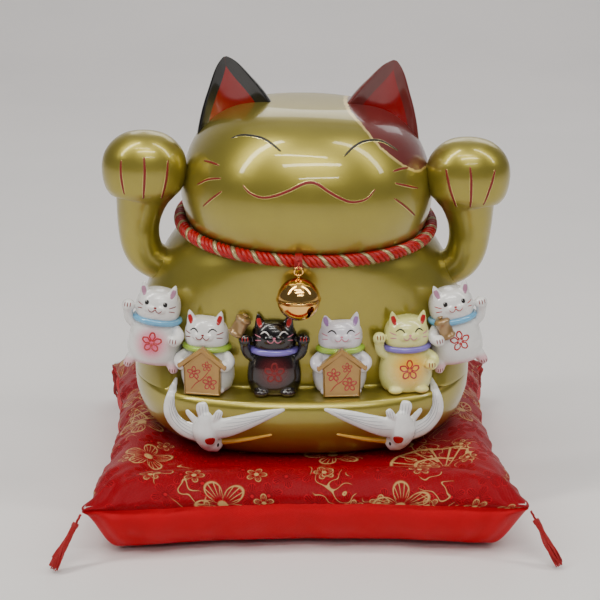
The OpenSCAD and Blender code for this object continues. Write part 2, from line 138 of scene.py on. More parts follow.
def smoothstep(low: float, high: float, value: float | np.ndarray) -> float | np.ndarray:
    """Zero below low, one above high and smooth between."""
    t = np.clip((np.asarray(value) - low) / (high - low), 0, 1)
    return t * t * (3 - 2 * t)


def leaned(points: np.ndarray) -> np.ndarray:
    """Body points with the casting's own lean, which grows from the pivot to the neck."""
    p = np.array(points, float)
    a = np.radians(LEAN_DEG) * smoothstep(LEAN_PIVOT_Z, NECK_Z, p[:, 2])
    h = p[:, 2] - LEAN_PIVOT_Z
    return np.stack([p[:, 0] * np.cos(a) + h * np.sin(a), p[:, 1],
                     LEAN_PIVOT_Z - p[:, 0] * np.sin(a) + h * np.cos(a)], 1)


def lean_matrix() -> Matrix:
    """The full lean, in millimetres, for the head, ears, arms and collar."""
    up = Matrix.Translation((0, 0, LEAN_PIVOT_Z))
    return up @ Matrix.Rotation(math.radians(LEAN_DEG), 4, "Y") @ up.inverted()


# ------------------------------------------------------------------ meshes

def link_object(name: str, data: bpy.types.ID) -> bpy.types.Object:
    """A new object in the scene that holds this mesh, lamp or camera."""
    obj = bpy.data.objects.new(name, data)
    bpy.context.scene.collection.objects.link(obj)
    return obj


def shade_smooth(mesh: bpy.types.Mesh, smooth: bool = True) -> None:
    """Makes every face shade smoothly, or flat."""
    mesh.polygons.foreach_set("use_smooth", [smooth] * len(mesh.polygons))


def new_object(name: str, verts: Iterable[Point], faces: Iterable[Sequence[int]],
               smooth: bool = True) -> bpy.types.Object:
    """A mesh object from points in millimetres.

    Args:
        name: The piece's name.
        verts: Points in millimetres.
        faces: Vertex numbers of each face.
        smooth: Whether the faces shade smoothly.

    Returns:
        The linked object, at the origin.
    """
    mesh = bpy.data.meshes.new(name)
    mesh.from_pydata([tuple(float(c) * MM for c in v) for v in verts], [], [tuple(f) for f in faces])
    shade_smooth(mesh, smooth)
    mesh.update()
    return link_object(name, mesh)


def loft_faces(rings: int, count: int, loop: bool = False) -> list[list[int]]:
    """Faces of a capped stack of rings, or of a closed loop of rings."""
    faces = []
    for k in range(rings if loop else rings - 1):
        a, b = k * count, (k + 1) % rings * count
        for i in range(count):
            j = (i + 1) % count
            faces.append([a + i, a + j, b + j, b + i])
    if not loop:
        faces.append(list(range(count - 1, -1, -1)))
        faces.append([(rings - 1) * count + i for i in range(count)])
    return faces


def transform(obj: bpy.types.Object, matrix: Matrix) -> bpy.types.Object:
    """Moves the mesh itself by a matrix in millimetres and leaves the object at the origin."""
    scale = Matrix.Scale(MM, 4)
    obj.data.transform(scale @ matrix @ scale.inverted())
    if matrix.to_3x3().determinant() < 0:
        obj.data.flip_normals()
    obj.data.update()
    return obj


def apply_modifiers(obj: bpy.types.Object) -> None:
    """Turns the evaluated object into a plain mesh and takes its modifiers off."""
    graph = bpy.context.evaluated_depsgraph_get()
    graph.update()
    mesh = bpy.data.meshes.new_from_object(obj.evaluated_get(graph), depsgraph=graph)
    obj.modifiers.clear()
    obj.data = mesh


def join(name: str, objects: Sequence[bpy.types.Object]) -> bpy.types.Object:
    """One object from several, keeping every material."""
    merged = bmesh.new()
    materials: list[bpy.types.Material] = []
    for obj in objects:
        start = len(merged.faces)
        merged.from_mesh(obj.data)
        merged.faces.ensure_lookup_table()
        slots = list(obj.data.materials) or [None]
        for m in slots:
            if m not in materials:
                materials.append(m)
        for face in merged.faces[start:]:
            face.material_index = materials.index(slots[min(face.material_index, len(slots) - 1)])
    mesh = bpy.data.meshes.new(name)
    merged.to_mesh(mesh)
    merged.free()
    for m in materials:
        mesh.materials.append(m)
    for obj in objects:
        bpy.data.objects.remove(obj)
    return link_object(name, mesh)


def paint(obj: bpy.types.Object, *materials: bpy.types.Material) -> bpy.types.Object:
    """Gives the object these materials, in slot order."""
    obj.data.materials.clear()
    for m in materials:
        obj.data.materials.append(m)
    return obj


def surface_of(obj: bpy.types.Object) -> BVHTree:
    """A search tree over the object's faces, in metres."""
    mesh = obj.data
    return BVHTree.FromPolygons([v.co for v in mesh.vertices], [p.vertices[:] for p in mesh.polygons])


def lathe(name: str, outline: Sequence[Point], count: int) -> bpy.types.Object:
    """A closed solid of revolution about Z from an outline of (radius, height) going up.

    Args:
        name: The piece's name.
        outline: Points from the bottom of the axis to its top, on or off the axis.
        count: Points round the axis.

    Returns:
        The new object.
    """
    rings = [[(r * math.cos(TAU * i / count), r * math.sin(TAU * i / count), z)
              for i in range(count)] for r, z in outline]
    obj = new_object(name, [p for ring in rings for p in ring], loft_faces(len(rings), count))
    fix_normals(obj, 1e-6)
    shade_smooth(obj.data)
    return obj


def tube(name: str, path: np.ndarray, radii: Sequence[float] | float, sides: int,
         flat: float = 1.0) -> bpy.types.Object:
    """A tube with rounded ends along a path, flattened from front to back.

    Args:
        name: The piece's name.
        path: Points in millimetres.
        radii: Radius at each point, or one for all.
        sides: Points round the section.
        flat: Thickness from front to back as a share of the width.

    Returns:
        The new object.
    """
    p = np.asarray(path, float)
    r = np.broadcast_to(np.asarray(radii, float), (len(p),)).copy()
    t = np.gradient(p, axis=0)
    t /= np.linalg.norm(t, axis=1)[:, None]
    verts = []
    caps = [(-1, 0.35), (-0.8, 0.72)]
    stations = [(0, s * 0.8, k) for s, k in caps] + [(i, 0, 1) for i in range(len(p))]
    stations += [(len(p) - 1, -s * 0.8, k) for s, k in reversed(caps)]
    for i, along, share in stations:
        side = np.cross(t[i], (0.0, -1.0, 0.0))
        side /= np.linalg.norm(side)
        up = np.cross(side, t[i])
        centre = p[i] + t[i] * along * r[i]
        for k in range(sides):
            a = TAU * k / sides
            verts.append(centre + share * r[i] * (side * math.cos(a) + up * flat * math.sin(a)))
    obj = new_object(name, verts, loft_faces(len(stations), sides))
    fix_normals(obj)
    return obj


def fix_normals(obj: bpy.types.Object, near: float = 1e-7) -> None:
    """Merges points that are nearer than this, in metres, and turns every face outwards."""
    work = bmesh.new()
    work.from_mesh(obj.data)
    bmesh.ops.remove_doubles(work, verts=work.verts, dist=near)
    bmesh.ops.recalc_face_normals(work, faces=work.faces)
    work.to_mesh(obj.data)
    work.free()


def ellipsoid(name: str, centre: Point, size: Point) -> bpy.types.Object:
    """An ellipsoid with half sizes in millimetres."""
    work = bmesh.new()
    bmesh.ops.create_uvsphere(work, u_segments=32, v_segments=16, radius=1)
    work.transform(Matrix.Translation(Vector(centre) * MM) @ Matrix.Diagonal([s * MM for s in size] + [1]))
    mesh = bpy.data.meshes.new(name)
    work.to_mesh(mesh)
    work.free()
    shade_smooth(mesh)
    return link_object(name, mesh)


def clay(name: str, parts: Sequence[bpy.types.Object]) -> bpy.types.Object:
    """Presses overlapping closed parts into one smooth skin."""
    obj = join(name, parts)
    remesh = obj.modifiers.new("skin", "REMESH")
    remesh.mode, remesh.voxel_size, remesh.use_smooth_shade = "VOXEL", CLAY_VOXEL * MM, True
    soften(obj, 0.6, CLAY_PASSES)
    shade_smooth(obj.data)
    return obj


def soften(obj: bpy.types.Object, factor: float, passes: int) -> None:
    """Smooths the mesh and applies its modifiers."""
    smooth = obj.modifiers.new("soften", "SMOOTH")
    smooth.factor, smooth.iterations = factor, passes
    apply_modifiers(obj)


def brush_line(name: str, surface: BVHTree, points: Sequence[Point], width: float,
               lift: float = 0.12, steps: int = 10) -> bpy.types.Object:
    """A painted stroke that lies on a surface.

    Args:
        name: The stroke's name.
        surface: Search tree of the surface, in metres.
        points: (x, z) of the stroke seen from the front, in millimetres.
        width: Width of the stroke at its middle, in millimetres.
        lift: Height of the paint over the surface, in millimetres.
        steps: Stations between neighbouring points.

    Returns:
        The stroke as a thin closed mesh.
    """
    end = 0.35      # share of the width that is left at the ends
    flat = spline(points, steps) if len(points) > 2 else \
        np.linspace(np.asarray(points[0], float), np.asarray(points[1], float), steps + 1)
    path, normals = [], []
    for x, z in flat:
        hit, normal, _, _ = surface.ray_cast(Vector((x * MM, 0, z * MM)) - FRONT * RAY_BACK, FRONT)
        if hit is not None:
            path.append(np.array(hit) / MM)
            normals.append(np.array(normal))
    path, normals = np.array(path), np.array(normals)
    tangent = np.gradient(path, axis=0)
    tangent /= np.linalg.norm(tangent, axis=1)[:, None]
    across = np.cross(tangent, normals)
    across /= np.linalg.norm(across, axis=1)[:, None]
    share = np.sin(np.linspace(0, math.pi, len(path))) ** 0.5 * (1 - end) + end
    section = [(-1, -1.2), (-0.92, 0.55), (-0.5, 0.95), (0, 1.0), (0.5, 0.95), (0.92, 0.55), (1, -1.2)]
    verts = [p + a * (s * width / 2 * u) + n * (lift * v)
             for p, n, a, s in zip(path, normals, across, share) for u, v in section]
    obj = new_object(name, verts, loft_faces(len(path), len(section)))
    fix_normals(obj)
    return obj


def laid_lines(name: str, surface: BVHTree, strokes: Sequence[tuple[Sequence[Point], float]],
               paints: Sequence[Finish], lift: float = 0.12) -> bpy.types.Object:
    """Several strokes of one paint, joined.

    Args:
        name: The piece's name.
        surface: Search tree of the surface under the paint.
        strokes: Pairs of (x, z) points and width, in millimetres.
        paints: The paint, and the finish of the painted highlight if it has one: a paler edge round each stroke that
            stands in for the lit rim of an engraved groove.
        lift: Height of the paint over the surface.

    Returns:
        One object with all the strokes.
    """
    made = []
    # The second finish, when given, is a painted highlight: a wider, lower ribbon of pale gold under each stroke, for
    # the lit rim of an engraved groove.
    for finish, wider, high in zip(paints, (0.0, 0.5), (1.0, 0.4)):
        made += [paint(brush_line(f"{name}_{i}", surface, pts, width + wider, lift * high), finish.material)
                 for i, (pts, width) in enumerate(strokes)]
    return join(name, made)


# ------------------------------------------------------------------ shader nodes

def fill(tree: bpy.types.NodeTree, node: bpy.types.Node, sockets: dict | None) -> None:
    """Links or sets a node's inputs, by name or number."""
    for key, value in (sockets or {}).items():
        if isinstance(value, bpy.types.NodeSocket):
            tree.links.new(value, node.inputs[key])
        else:
            node.inputs[key].default_value = value


class Shade:
    """Short ways to place and link the nodes of one shader tree."""

    def __init__(self, tree: bpy.types.NodeTree) -> None:
        """Keeps the tree that the nodes go into."""
        self.tree = tree

    def put(self, kind: str, sockets: dict | None = None, **props: object) -> bpy.types.Node:
        """Adds a node.

        Args:
            kind: Node type without its ShaderNode prefix.
            sockets: Socket name or number to a value or an output socket.
            **props: Properties set on the node.

        Returns:
            The new node.
        """
        prefix = "" if kind.startswith(("Node", "Shader")) else "ShaderNode"
        node = self.tree.nodes.new(prefix + kind)
        for key, value in props.items():
            setattr(node, key, value)
        fill(self.tree, node, sockets)
        return node

    def math(self, op: str, a: object, b: object = 0.0, clamp: bool = False) -> bpy.types.NodeSocket:
        """One arithmetic step on two values."""
        return self.put("Math", {0: a, 1: b}, operation=op, use_clamp=clamp).outputs[0]

    def mul(self, a: object, b: object, clamp: bool = False) -> bpy.types.NodeSocket:
        """The product of two values."""
        return self.math("MULTIPLY", a, b, clamp)

    def add(self, a: object, b: object) -> bpy.types.NodeSocket:
        """The sum of two values."""
        return self.math("ADD", a, b)

    def most(self, first: object, *others: object) -> bpy.types.NodeSocket:
        """The greatest of several values."""
        for other in others:
            first = self.math("MAXIMUM", first, other)
        return first

    def from_half(self, value: object) -> bpy.types.NodeSocket:
        """How far the value's fraction is from a half."""
        return self.math("ABSOLUTE", self.math("SUBTRACT", self.math("FRACT", value), 0.5))

    def mix(self, share: object, a: object, b: object) -> bpy.types.NodeSocket:
        """Colour a turning to colour b with the share."""
        return self.put("Mix", {"Factor": share, 6: a, 7: b}, data_type="RGBA").outputs[2]

    def named(self, attribute: str) -> bpy.types.Node:
        """The node that reads an attribute of the mesh."""
        return self.put("Attribute", attribute_name=attribute)

    def step(self, value: object, low: float, high: float,
             out: tuple[float, float] = (0, 1)) -> bpy.types.NodeSocket:
        """Smooth step of the value between low and high."""
        return self.put("MapRange", {0: value, 1: low, 2: high, 3: out[0], 4: out[1]},
                        interpolation_type="SMOOTHSTEP").outputs[0]

    def noise(self, at: object, scale: float, detail: float = 3.0, rough: float = 0.55) -> bpy.types.NodeSocket:
        """Fractal noise value at a position."""
        return self.put("TexNoise", {"Vector": at, "Scale": scale, "Detail": detail,
                                     "Roughness": rough}).outputs[0]

    def bump(self, strength: float, distance: object, height: object) -> bpy.types.NodeSocket:
        """The normal of a raised surface; the distance is in metres."""
        return self.put("Bump", {"Strength": strength, "Distance": distance, "Height": height}).outputs[0]

    def group(self, name: str, sockets: dict) -> bpy.types.Node:
        """Places a shared node group with its own values."""
        return self.put("Group", sockets, node_tree=bpy.data.node_groups[name])


def shader_group(name: str, inputs: Sequence[tuple[str, str, object]],
                 outputs: Sequence[tuple[str, str]],
                 draw: Callable[[Shade, dict, dict], None]) -> None:
    """Builds a shared shader node group.

    Args:
        name: The group's name.
        inputs: Name, socket kind and default of each input.
        outputs: Name and socket kind of each output.
        draw: Places the nodes, given the helper, the inputs and an empty dict for its results.
    """
    tree = bpy.data.node_groups.new(name, "ShaderNodeTree")
    for title, kind, value in inputs:
        socket = tree.interface.new_socket(title, in_out="INPUT", socket_type="NodeSocket" + kind)
        if value is not None:
            socket.default_value = value
    for title, kind in outputs:
        tree.interface.new_socket(title, in_out="OUTPUT", socket_type="NodeSocket" + kind)
    shade = Shade(tree)
    start, end = shade.put("NodeGroupInput"), shade.put("NodeGroupOutput")
    results: dict = {}
    draw(shade, {s.name: s for s in start.outputs if s.name}, results)
    fill(tree, end, results)


def build_shader_groups() -> None:
    """The effects that several finishes share."""

    def flake(s: Shade, i: dict, out: dict) -> None:
        """Fine metallic flakes with slow clouding."""
        cells = s.put("TexVoronoi", {"Vector": i["Position"], "Scale": i["Scale"]}).outputs["Color"]
        bright = s.put("SeparateColor", {0: cells}).outputs[0]
        out["Flake"] = bright
        out["Cloud"] = s.step(s.noise(i["Position"], 45.0, 4), 0.3, 0.7)

    shader_group("pearl_flake", [("Position", "Vector", None), ("Scale", "Float", 3000.0)],
                 [("Flake", "Float"), ("Cloud", "Float")], flake)

    def ripple(s: Shade, i: dict, out: dict) -> None:
        """Slow waves of a poured glaze with small pits."""
        slow = s.noise(i["Position"], i["Scale"], 2, 0.45)
        pits = s.step(s.put("TexVoronoi", {"Vector": i["Position"], "Scale": 260.0}).outputs["Distance"],
                      0.02, 0.10)
        height = s.add(slow, s.mul(pits, 0.06))
        out["Normal"] = s.bump(1.0, i["Depth"], height)

    shader_group("glaze_ripple", [("Position", "Vector", None), ("Scale", "Float", 90.0),
                                  ("Depth", "Float", 0.00008)], [("Normal", "Vector")], ripple)

    def wear(s: Shade, i: dict, out: dict) -> None:
        """Glaze or paint that has thinned on raised edges."""
        edge = s.step(s.put("NewGeometry").outputs["Pointiness"], 0.515, 0.58)
        broken = s.step(s.noise(i["Position"], i["Scale"], 4), 0.4, 0.62)
        out["Mask"] = s.mul(s.mul(edge, broken), i["Amount"], True)

    shader_group("edge_wear", [("Position", "Vector", None), ("Scale", "Float", 300.0),
                               ("Amount", "Float", 0.6)], [("Mask", "Float")], wear)

    def weave(s: Shade, i: dict, out: dict) -> None:
        """Satin weave: long floats in steps, with the lie of single threads."""
        split = s.put("SeparateXYZ", {0: i["Cloth"]})
        across = s.mul(split.outputs[0], i["Threads"])
        along = s.mul(split.outputs[1], i["Threads"])
        shift = s.add(along, s.mul(s.math("FLOOR", across), 2.0))
        ridge = s.step(s.from_half(across), 0.5, 0.1)
        dive = s.step(s.from_half(s.math("DIVIDE", shift, 5.0)), 0.5, 0.36)
        out["Height"] = s.mul(ridge, dive)
        out["Slub"] = s.noise(i["Cloth"], 0.9, 4, 0.6)

    shader_group("satin_weave", [("Cloth", "Vector", None), ("Threads", "Float", 3.0)],
                 [("Height", "Float"), ("Slub", "Float")], weave)

    def blossom(s: Shade, i: dict, out: dict) -> None:
        """Five-petal flowers scattered over the cloth, one to a cell at a random place and turn."""
        cells = s.put("TexVoronoi", {"Vector": i["Cloth"], "Scale": 1.0, "Randomness": 0.8},
                      voronoi_dimensions="2D")
        local = s.put("VectorMath", {0: i["Cloth"], 1: cells.outputs["Position"]}, operation="SUBTRACT")
        far = s.put("VectorMath", {0: local.outputs[0]}, operation="LENGTH").outputs["Value"]
        split = s.put("SeparateXYZ", {0: local.outputs[0]})
        turn = s.put("SeparateColor", {0: cells.outputs["Color"]})
        angle = s.add(s.math("ARCTAN2", split.outputs[1], split.outputs[0]),
                       s.mul(turn.outputs[0], 6.283))
        petal = s.math("ABSOLUTE", s.math("SINE", s.mul(angle, 2.5)))
        rim = s.add(s.mul(s.math("POWER", petal, 0.6), i["Reach"]), 0.04)
        gap = s.math("SUBTRACT", rim, far)
        inside = s.step(gap, 0.0, 0.02)
        line = s.mul(inside, s.step(gap, 0.045, 0.028))
        heart = s.step(far, 0.06, 0.045)
        vein = s.mul(inside, s.step(s.math("SINE", s.mul(angle, 30.0)), 0.7, 0.92))
        vein = s.mul(vein, s.step(far, 0.09, 0.14))
        some = s.math("LESS_THAN", turn.outputs[1], i["Share"])
        out["Line"] = s.mul(s.most(line, heart, vein), some)
        out["Fill"] = s.mul(inside, some)

    shader_group("blossom_cloth", [("Cloth", "Vector", None), ("Reach", "Float", 0.3), ("Share", "Float", 0.7)],
                 [("Line", "Float"), ("Fill", "Float")], blossom)


def start_material(name: str) -> tuple[bpy.types.Material, Shade, bpy.types.Node, bpy.types.NodeSocket]:
    """An empty material with its surface shader.

    Args:
        name: The finish's name.

    Returns:
        The material, its helper, the surface shader node and Object coordinates.
    """
    material = bpy.data.materials.new(FINISH_PREFIX + name)
    material.use_nodes = True
    material.node_tree.nodes.clear()
    s = Shade(material.node_tree)
    surface = s.put("BsdfPrincipled")
    s.put("OutputMaterial", {"Surface": surface.outputs[0]})
    return material, s, surface, s.put("TexCoord").outputs["Object"]


def rgba(colour: Sequence[float], gain: float = 1.0) -> tuple[float, float, float, float]:
    """A linear colour with full alpha."""
    return (colour[0] * gain, colour[1] * gain, colour[2] * gain, 1.0)


@dataclass(frozen=True)
class PearlGlaze:
    """Gold lustre under a clear, slightly rippled glaze."""
    name: str = "gold_glaze"
    colour: Sequence[float] = (0.375, 0.312, 0.052)
    deep: Sequence[float] = (0.24, 0.20, 0.03)
    metal: float = 0.76
    rough: float = 0.34
    patch: Sequence[float] | None = None     # colour where the "patch" distance is above zero
    rim: Sequence[float] | None = None       # colour of the line between the two

    def build(self) -> bpy.types.Material:
        """The finished material."""
        m, s, surface, at = start_material(self.name)
        flake = s.group("pearl_flake", {"Position": at, "Scale": 5200.0})
        ripple = s.group("glaze_ripple", {"Position": at, "Scale": 55.0, "Depth": 0.00011})
        wear = s.group("edge_wear", {"Position": at, "Scale": 240.0, "Amount": 0.35})
        base = s.mix(flake.outputs["Cloud"], rgba(self.colour), rgba(self.colour, 0.9))
        base = s.mix(s.mul(flake.outputs["Flake"], 0.16), base, rgba(self.deep))
        base = s.mix(wear.outputs[0], base, rgba(self.colour, 1.35))
        metal: object = self.metal
        if self.patch is not None:
            far = s.named("patch").outputs["Fac"]
            inside = s.step(far, -0.25, 0.25)
            base = s.mix(inside, base, s.mix(s.mul(flake.outputs["Flake"], 0.3),
                                             rgba(self.patch), rgba(self.patch, 0.6)))
            edge = s.mul(s.step(far, -0.95, -0.6), s.step(far, 0.35, 0.05))
            base = s.mix(edge, base, rgba(self.rim))
            metal = s.mul(s.math("SUBTRACT", 1.0, inside), self.metal)
        tone = s.add(s.mul(flake.outputs["Flake"], 0.05), self.rough - 0.02)
        fill(m.node_tree, surface, {
            "Base Color": base, "Metallic": metal, "Normal": ripple.outputs["Normal"], "Roughness": tone,
            "Coat Weight": 0.75, "Coat Roughness": 0.035, "Coat IOR": 1.45})
        return m


@dataclass(frozen=True)
class Enamel:
    """Opaque glossy glaze or brushed enamel paint, with an optional airbrushed spot."""
    name: str
    colour: Sequence[float]
    rough: float = 0.22
    coat: float = 0.9
    metal: float = 0.0
    vary: float = 0.12
    blush: Sequence[float] | None = None     # airbrushed colour where the "blush" attribute is high
    patch: Sequence[float] | None = None

    def build(self) -> bpy.types.Material:
        """The finished material."""
        m, s, surface, at = start_material(self.name)
        pool = s.step(s.noise(at, 160.0, 4), 0.3, 0.7)
        base = s.mix(pool, rgba(self.colour), rgba(self.colour, 1 - self.vary))
        if self.blush is not None:
            spray = s.named("blush").outputs["Fac"]
            grain = s.mul(spray, s.step(s.noise(at, 2200.0, 2), 0.15, 0.6, (0.75, 1.0)))
            base = s.mix(grain, base, rgba(self.blush))
        if self.patch is not None:
            far = s.named("patch").outputs["Fac"]
            base = s.mix(s.step(far, -0.2, 0.2), base, rgba(self.patch))
        wear = s.group("edge_wear", {"Position": at, "Scale": 420.0, "Amount": 0.06})
        base = s.mix(wear.outputs[0], base, rgba([min(c * 1.5 + 0.012, 0.9) for c in self.colour]))
        ripple = s.group("glaze_ripple", {"Position": at, "Scale": 140.0, "Depth": 0.00005})
        fill(m.node_tree, surface, {
            "Base Color": base, "Normal": ripple.outputs["Normal"],
            "Roughness": s.add(s.mul(pool, 0.08), self.rough),
            "Metallic": self.metal, "Coat Weight": self.coat, "Coat Roughness": 0.05})
        return m


@dataclass(frozen=True)
class BrightMetal:
    """Plated or polished metal with faint turning marks."""
    name: str
    colour: Sequence[float]
    rough: float = 0.07

    def build(self) -> bpy.types.Material:
        """The finished material."""
        m, s, surface, at = start_material(self.name)
        stretched = s.put("Mapping", {"Vector": at, "Scale": (1.0, 1.0, 14.0)}).outputs[0]
        marks = s.noise(stretched, 900.0, 2)
        smear = s.step(s.noise(at, 130.0, 3), 0.4, 0.75)
        fill(m.node_tree, surface, {
            "Base Color": s.mix(smear, rgba(self.colour), rgba(self.colour, 0.86)),
            "Roughness": s.add(s.mul(smear, 0.08), self.rough),
            "Normal": s.bump(0.25, 0.00003, marks), "Metallic": 1.0})
        return m


@dataclass(frozen=True)
class Fibre:
    """Twisted yarn. The "strand" attribute runs along and round it, in millimetres."""
    name: str
    colour: Sequence[float]
    # Darker colour for the random hairs, and painted shade in the valleys between the plies.
    dark: Sequence[float]
    metal: float = 0.0
    rough: float = 0.45
    lay: float = 2.2

    def build(self) -> bpy.types.Material:
        """The finished material."""
        m, s, surface, at = start_material(self.name)
        strand = s.put("SeparateXYZ", {0: s.named("strand").outputs["Vector"]})
        twist = s.add(s.mul(strand.outputs[0], 6.283 / self.lay * 0.35),
                       s.mul(strand.outputs[1], 6.283 * 9))
        ply = s.add(s.mul(s.math("SINE", twist), 0.5), 0.5)
        hair = s.noise(s.put("Mapping", {"Vector": at, "Scale": (1.0, 1.0, 2.0)}).outputs[0], 2400.0, 3)
        height = s.add(ply, s.mul(hair, 0.35))
        crest = s.mix(s.mul(hair, 0.6), rgba(self.colour), rgba(self.dark))
        fill(m.node_tree, surface, {
            # Painted shade: the colour darkens in the valleys of the plies' twist.
            "Base Color": s.mix(s.step(ply, 0.05, 0.6), rgba(self.dark), crest),
            "Normal": s.bump(0.5, 0.00008, height),
            "Roughness": s.add(s.mul(hair, 0.25), self.rough - 0.1),
            "Metallic": self.metal, "Sheen Weight": 0.03, "Sheen Roughness": 0.35})
        return m


@dataclass(frozen=True)
class Satin:
    """Woven satin, plain or with a brocade of light figures; reads the cloth map in mm / 100."""
    name: str
    colour: Sequence[float]
    figure: Sequence[float] | None = None
    threads: float = 1.7

    def build(self) -> bpy.types.Material:
        """The finished material."""
        m, s, surface, _ = start_material(self.name)
        cloth = s.put("VectorMath", {0: s.put("UVMap", uv_map="cloth").outputs[0], "Scale": UV_MM},
                      operation="SCALE").outputs[0]
        weave = s.group("satin_weave", {"Cloth": cloth, "Threads": self.threads})
        height = weave.outputs["Height"]
        shade = s.mix(s.step(weave.outputs["Slub"], 0.35, 0.7), rgba(self.colour), rgba(self.colour, 0.8))
        # Painted shade: the colour darkens to six tenths of the ground in the low places between the woven floats,
        # following the weave's height.
        base = s.mix(s.mul(height, 0.5), rgba(self.colour, 0.6), shade)
        rough: object = s.add(s.mul(weave.outputs["Slub"], 0.12), 0.34)
        if self.figure is not None:
            base, rough, height = self.brocade(s, cloth, base, height)
        fill(m.node_tree, surface, {
            "Base Color": base, "Roughness": rough, "Normal": s.bump(0.8, 0.00022, height),
            "Specular IOR Level": 0.14, "Sheen Weight": 0.03, "Sheen Roughness": 0.3,
            "Sheen Tint": rgba((1.0, 0.15, 0.12)), "Anisotropic": 0.4})
        return m

    def brocade(self, s: Shade, cloth: bpy.types.NodeSocket, base: bpy.types.NodeSocket,
                height: bpy.types.NodeSocket) -> tuple:
        """Adds the tone-on-tone ground and the light woven figures.

        Args:
            s: Helper of the material.
            cloth: Flat cloth position in millimetres.
            base: Ground colour so far.
            height: Height of the weave so far.

        Returns:
            Colour, roughness and height.
        """
        def flowers(size: float, reach: float, share: float, move: Point) -> bpy.types.Node:
            """A scatter of blossoms about size mm apart."""
            moved = s.put("Mapping", {"Vector": cloth, "Location": move,
                                      "Scale": (1 / size, 1 / size, 1.0)}).outputs[0]
            return s.group("blossom_cloth", {"Cloth": moved, "Reach": reach, "Share": share})
        tone = flowers(15.0, 0.42, 0.95, (0.3, 0.1, 0))
        big = flowers(44.0, 0.27, 0.55, (0.18, 0.42, 0))
        small = flowers(21.0, 0.2, 0.5, (0.6, 0.2, 0))
        level = s.mul(s.noise(cloth, 0.045, 1.5), 11.0)
        contour = s.step(s.from_half(level), 0.055, 0.03)
        where = s.step(s.noise(cloth, 0.022, 1), 0.53, 0.55)
        swirl = s.mul(contour, where)
        mask = s.most(big.outputs["Line"], small.outputs["Line"], swirl, self.fans(s, cloth))
        yarn = s.step(s.noise(s.put("Mapping", {"Vector": cloth, "Scale": (1.0, 6.0, 1.0)}).outputs[0], 1.1, 3),
                      0.32, 0.5)
        mask = s.mul(mask, s.add(s.mul(yarn, 0.3), 0.7))
        split = s.put("SeparateXYZ", {0: cloth})
        rib = s.math("SINE", s.mul(s.add(split.outputs[0], split.outputs[1]), 4.2))
        rib = s.add(s.mul(rib, 0.3), 0.7)
        ground = s.mix(s.mul(tone.outputs["Fill"], rib), base, rgba(self.colour, 0.42))
        ground = s.mix(s.mul(tone.outputs["Line"], 0.7), ground, rgba(self.colour, 1.5))
        height = s.add(height, s.mul(s.mul(tone.outputs["Fill"], rib), 0.8))
        colour = s.mix(mask, ground, rgba(self.figure))
        rough = s.add(s.mul(tone.outputs["Fill"], 0.2), 0.34)
        lifted = s.add(height, s.mul(mask, 1.4))
        return colour, rough, lifted

    def fans(self, s: Shade, cloth: bpy.types.NodeSocket) -> bpy.types.NodeSocket:
        """Three open folding fans drawn in outline with their ribs."""
        drawn = []
        for x, y, turn, size in ((62.0, -66.0, 0.5, 24.0), (-52.0, 74.0, 2.3, 22.0), (-88.0, 6.0, 4.0, 20.0)):
            near = s.put("Mapping", {"Vector": cloth, "Location": (x, y, 0), "Rotation": (0, 0, turn)},
                         vector_type="TEXTURE").outputs[0]
            split = s.put("SeparateXYZ", {0: near})
            far = s.put("VectorMath", {0: near}, operation="LENGTH").outputs["Value"]
            angle = s.math("ARCTAN2", split.outputs[0], split.outputs[1])
            spread = s.math("ABSOLUTE", angle)
            ribs = s.step(s.math("COSINE", s.mul(angle, 14.0)), 0.86, 0.94)
            body = s.mul(s.step(spread, 1.22, 1.18), s.step(far, size, size - 0.5))
            half = size * 0.5
            arc = s.mul(s.step(far, half - 0.6, half), s.step(far, half + 1.4, half + 0.8))
            ribs = s.mul(ribs, s.step(far, 2.0, 3.0))
            drawn.append(s.mul(body, s.most(s.step(far, size - 1.9, size - 1.2),
                                                         s.step(spread, 1.12, 1.17), ribs, arc)))
        return s.most(*drawn)


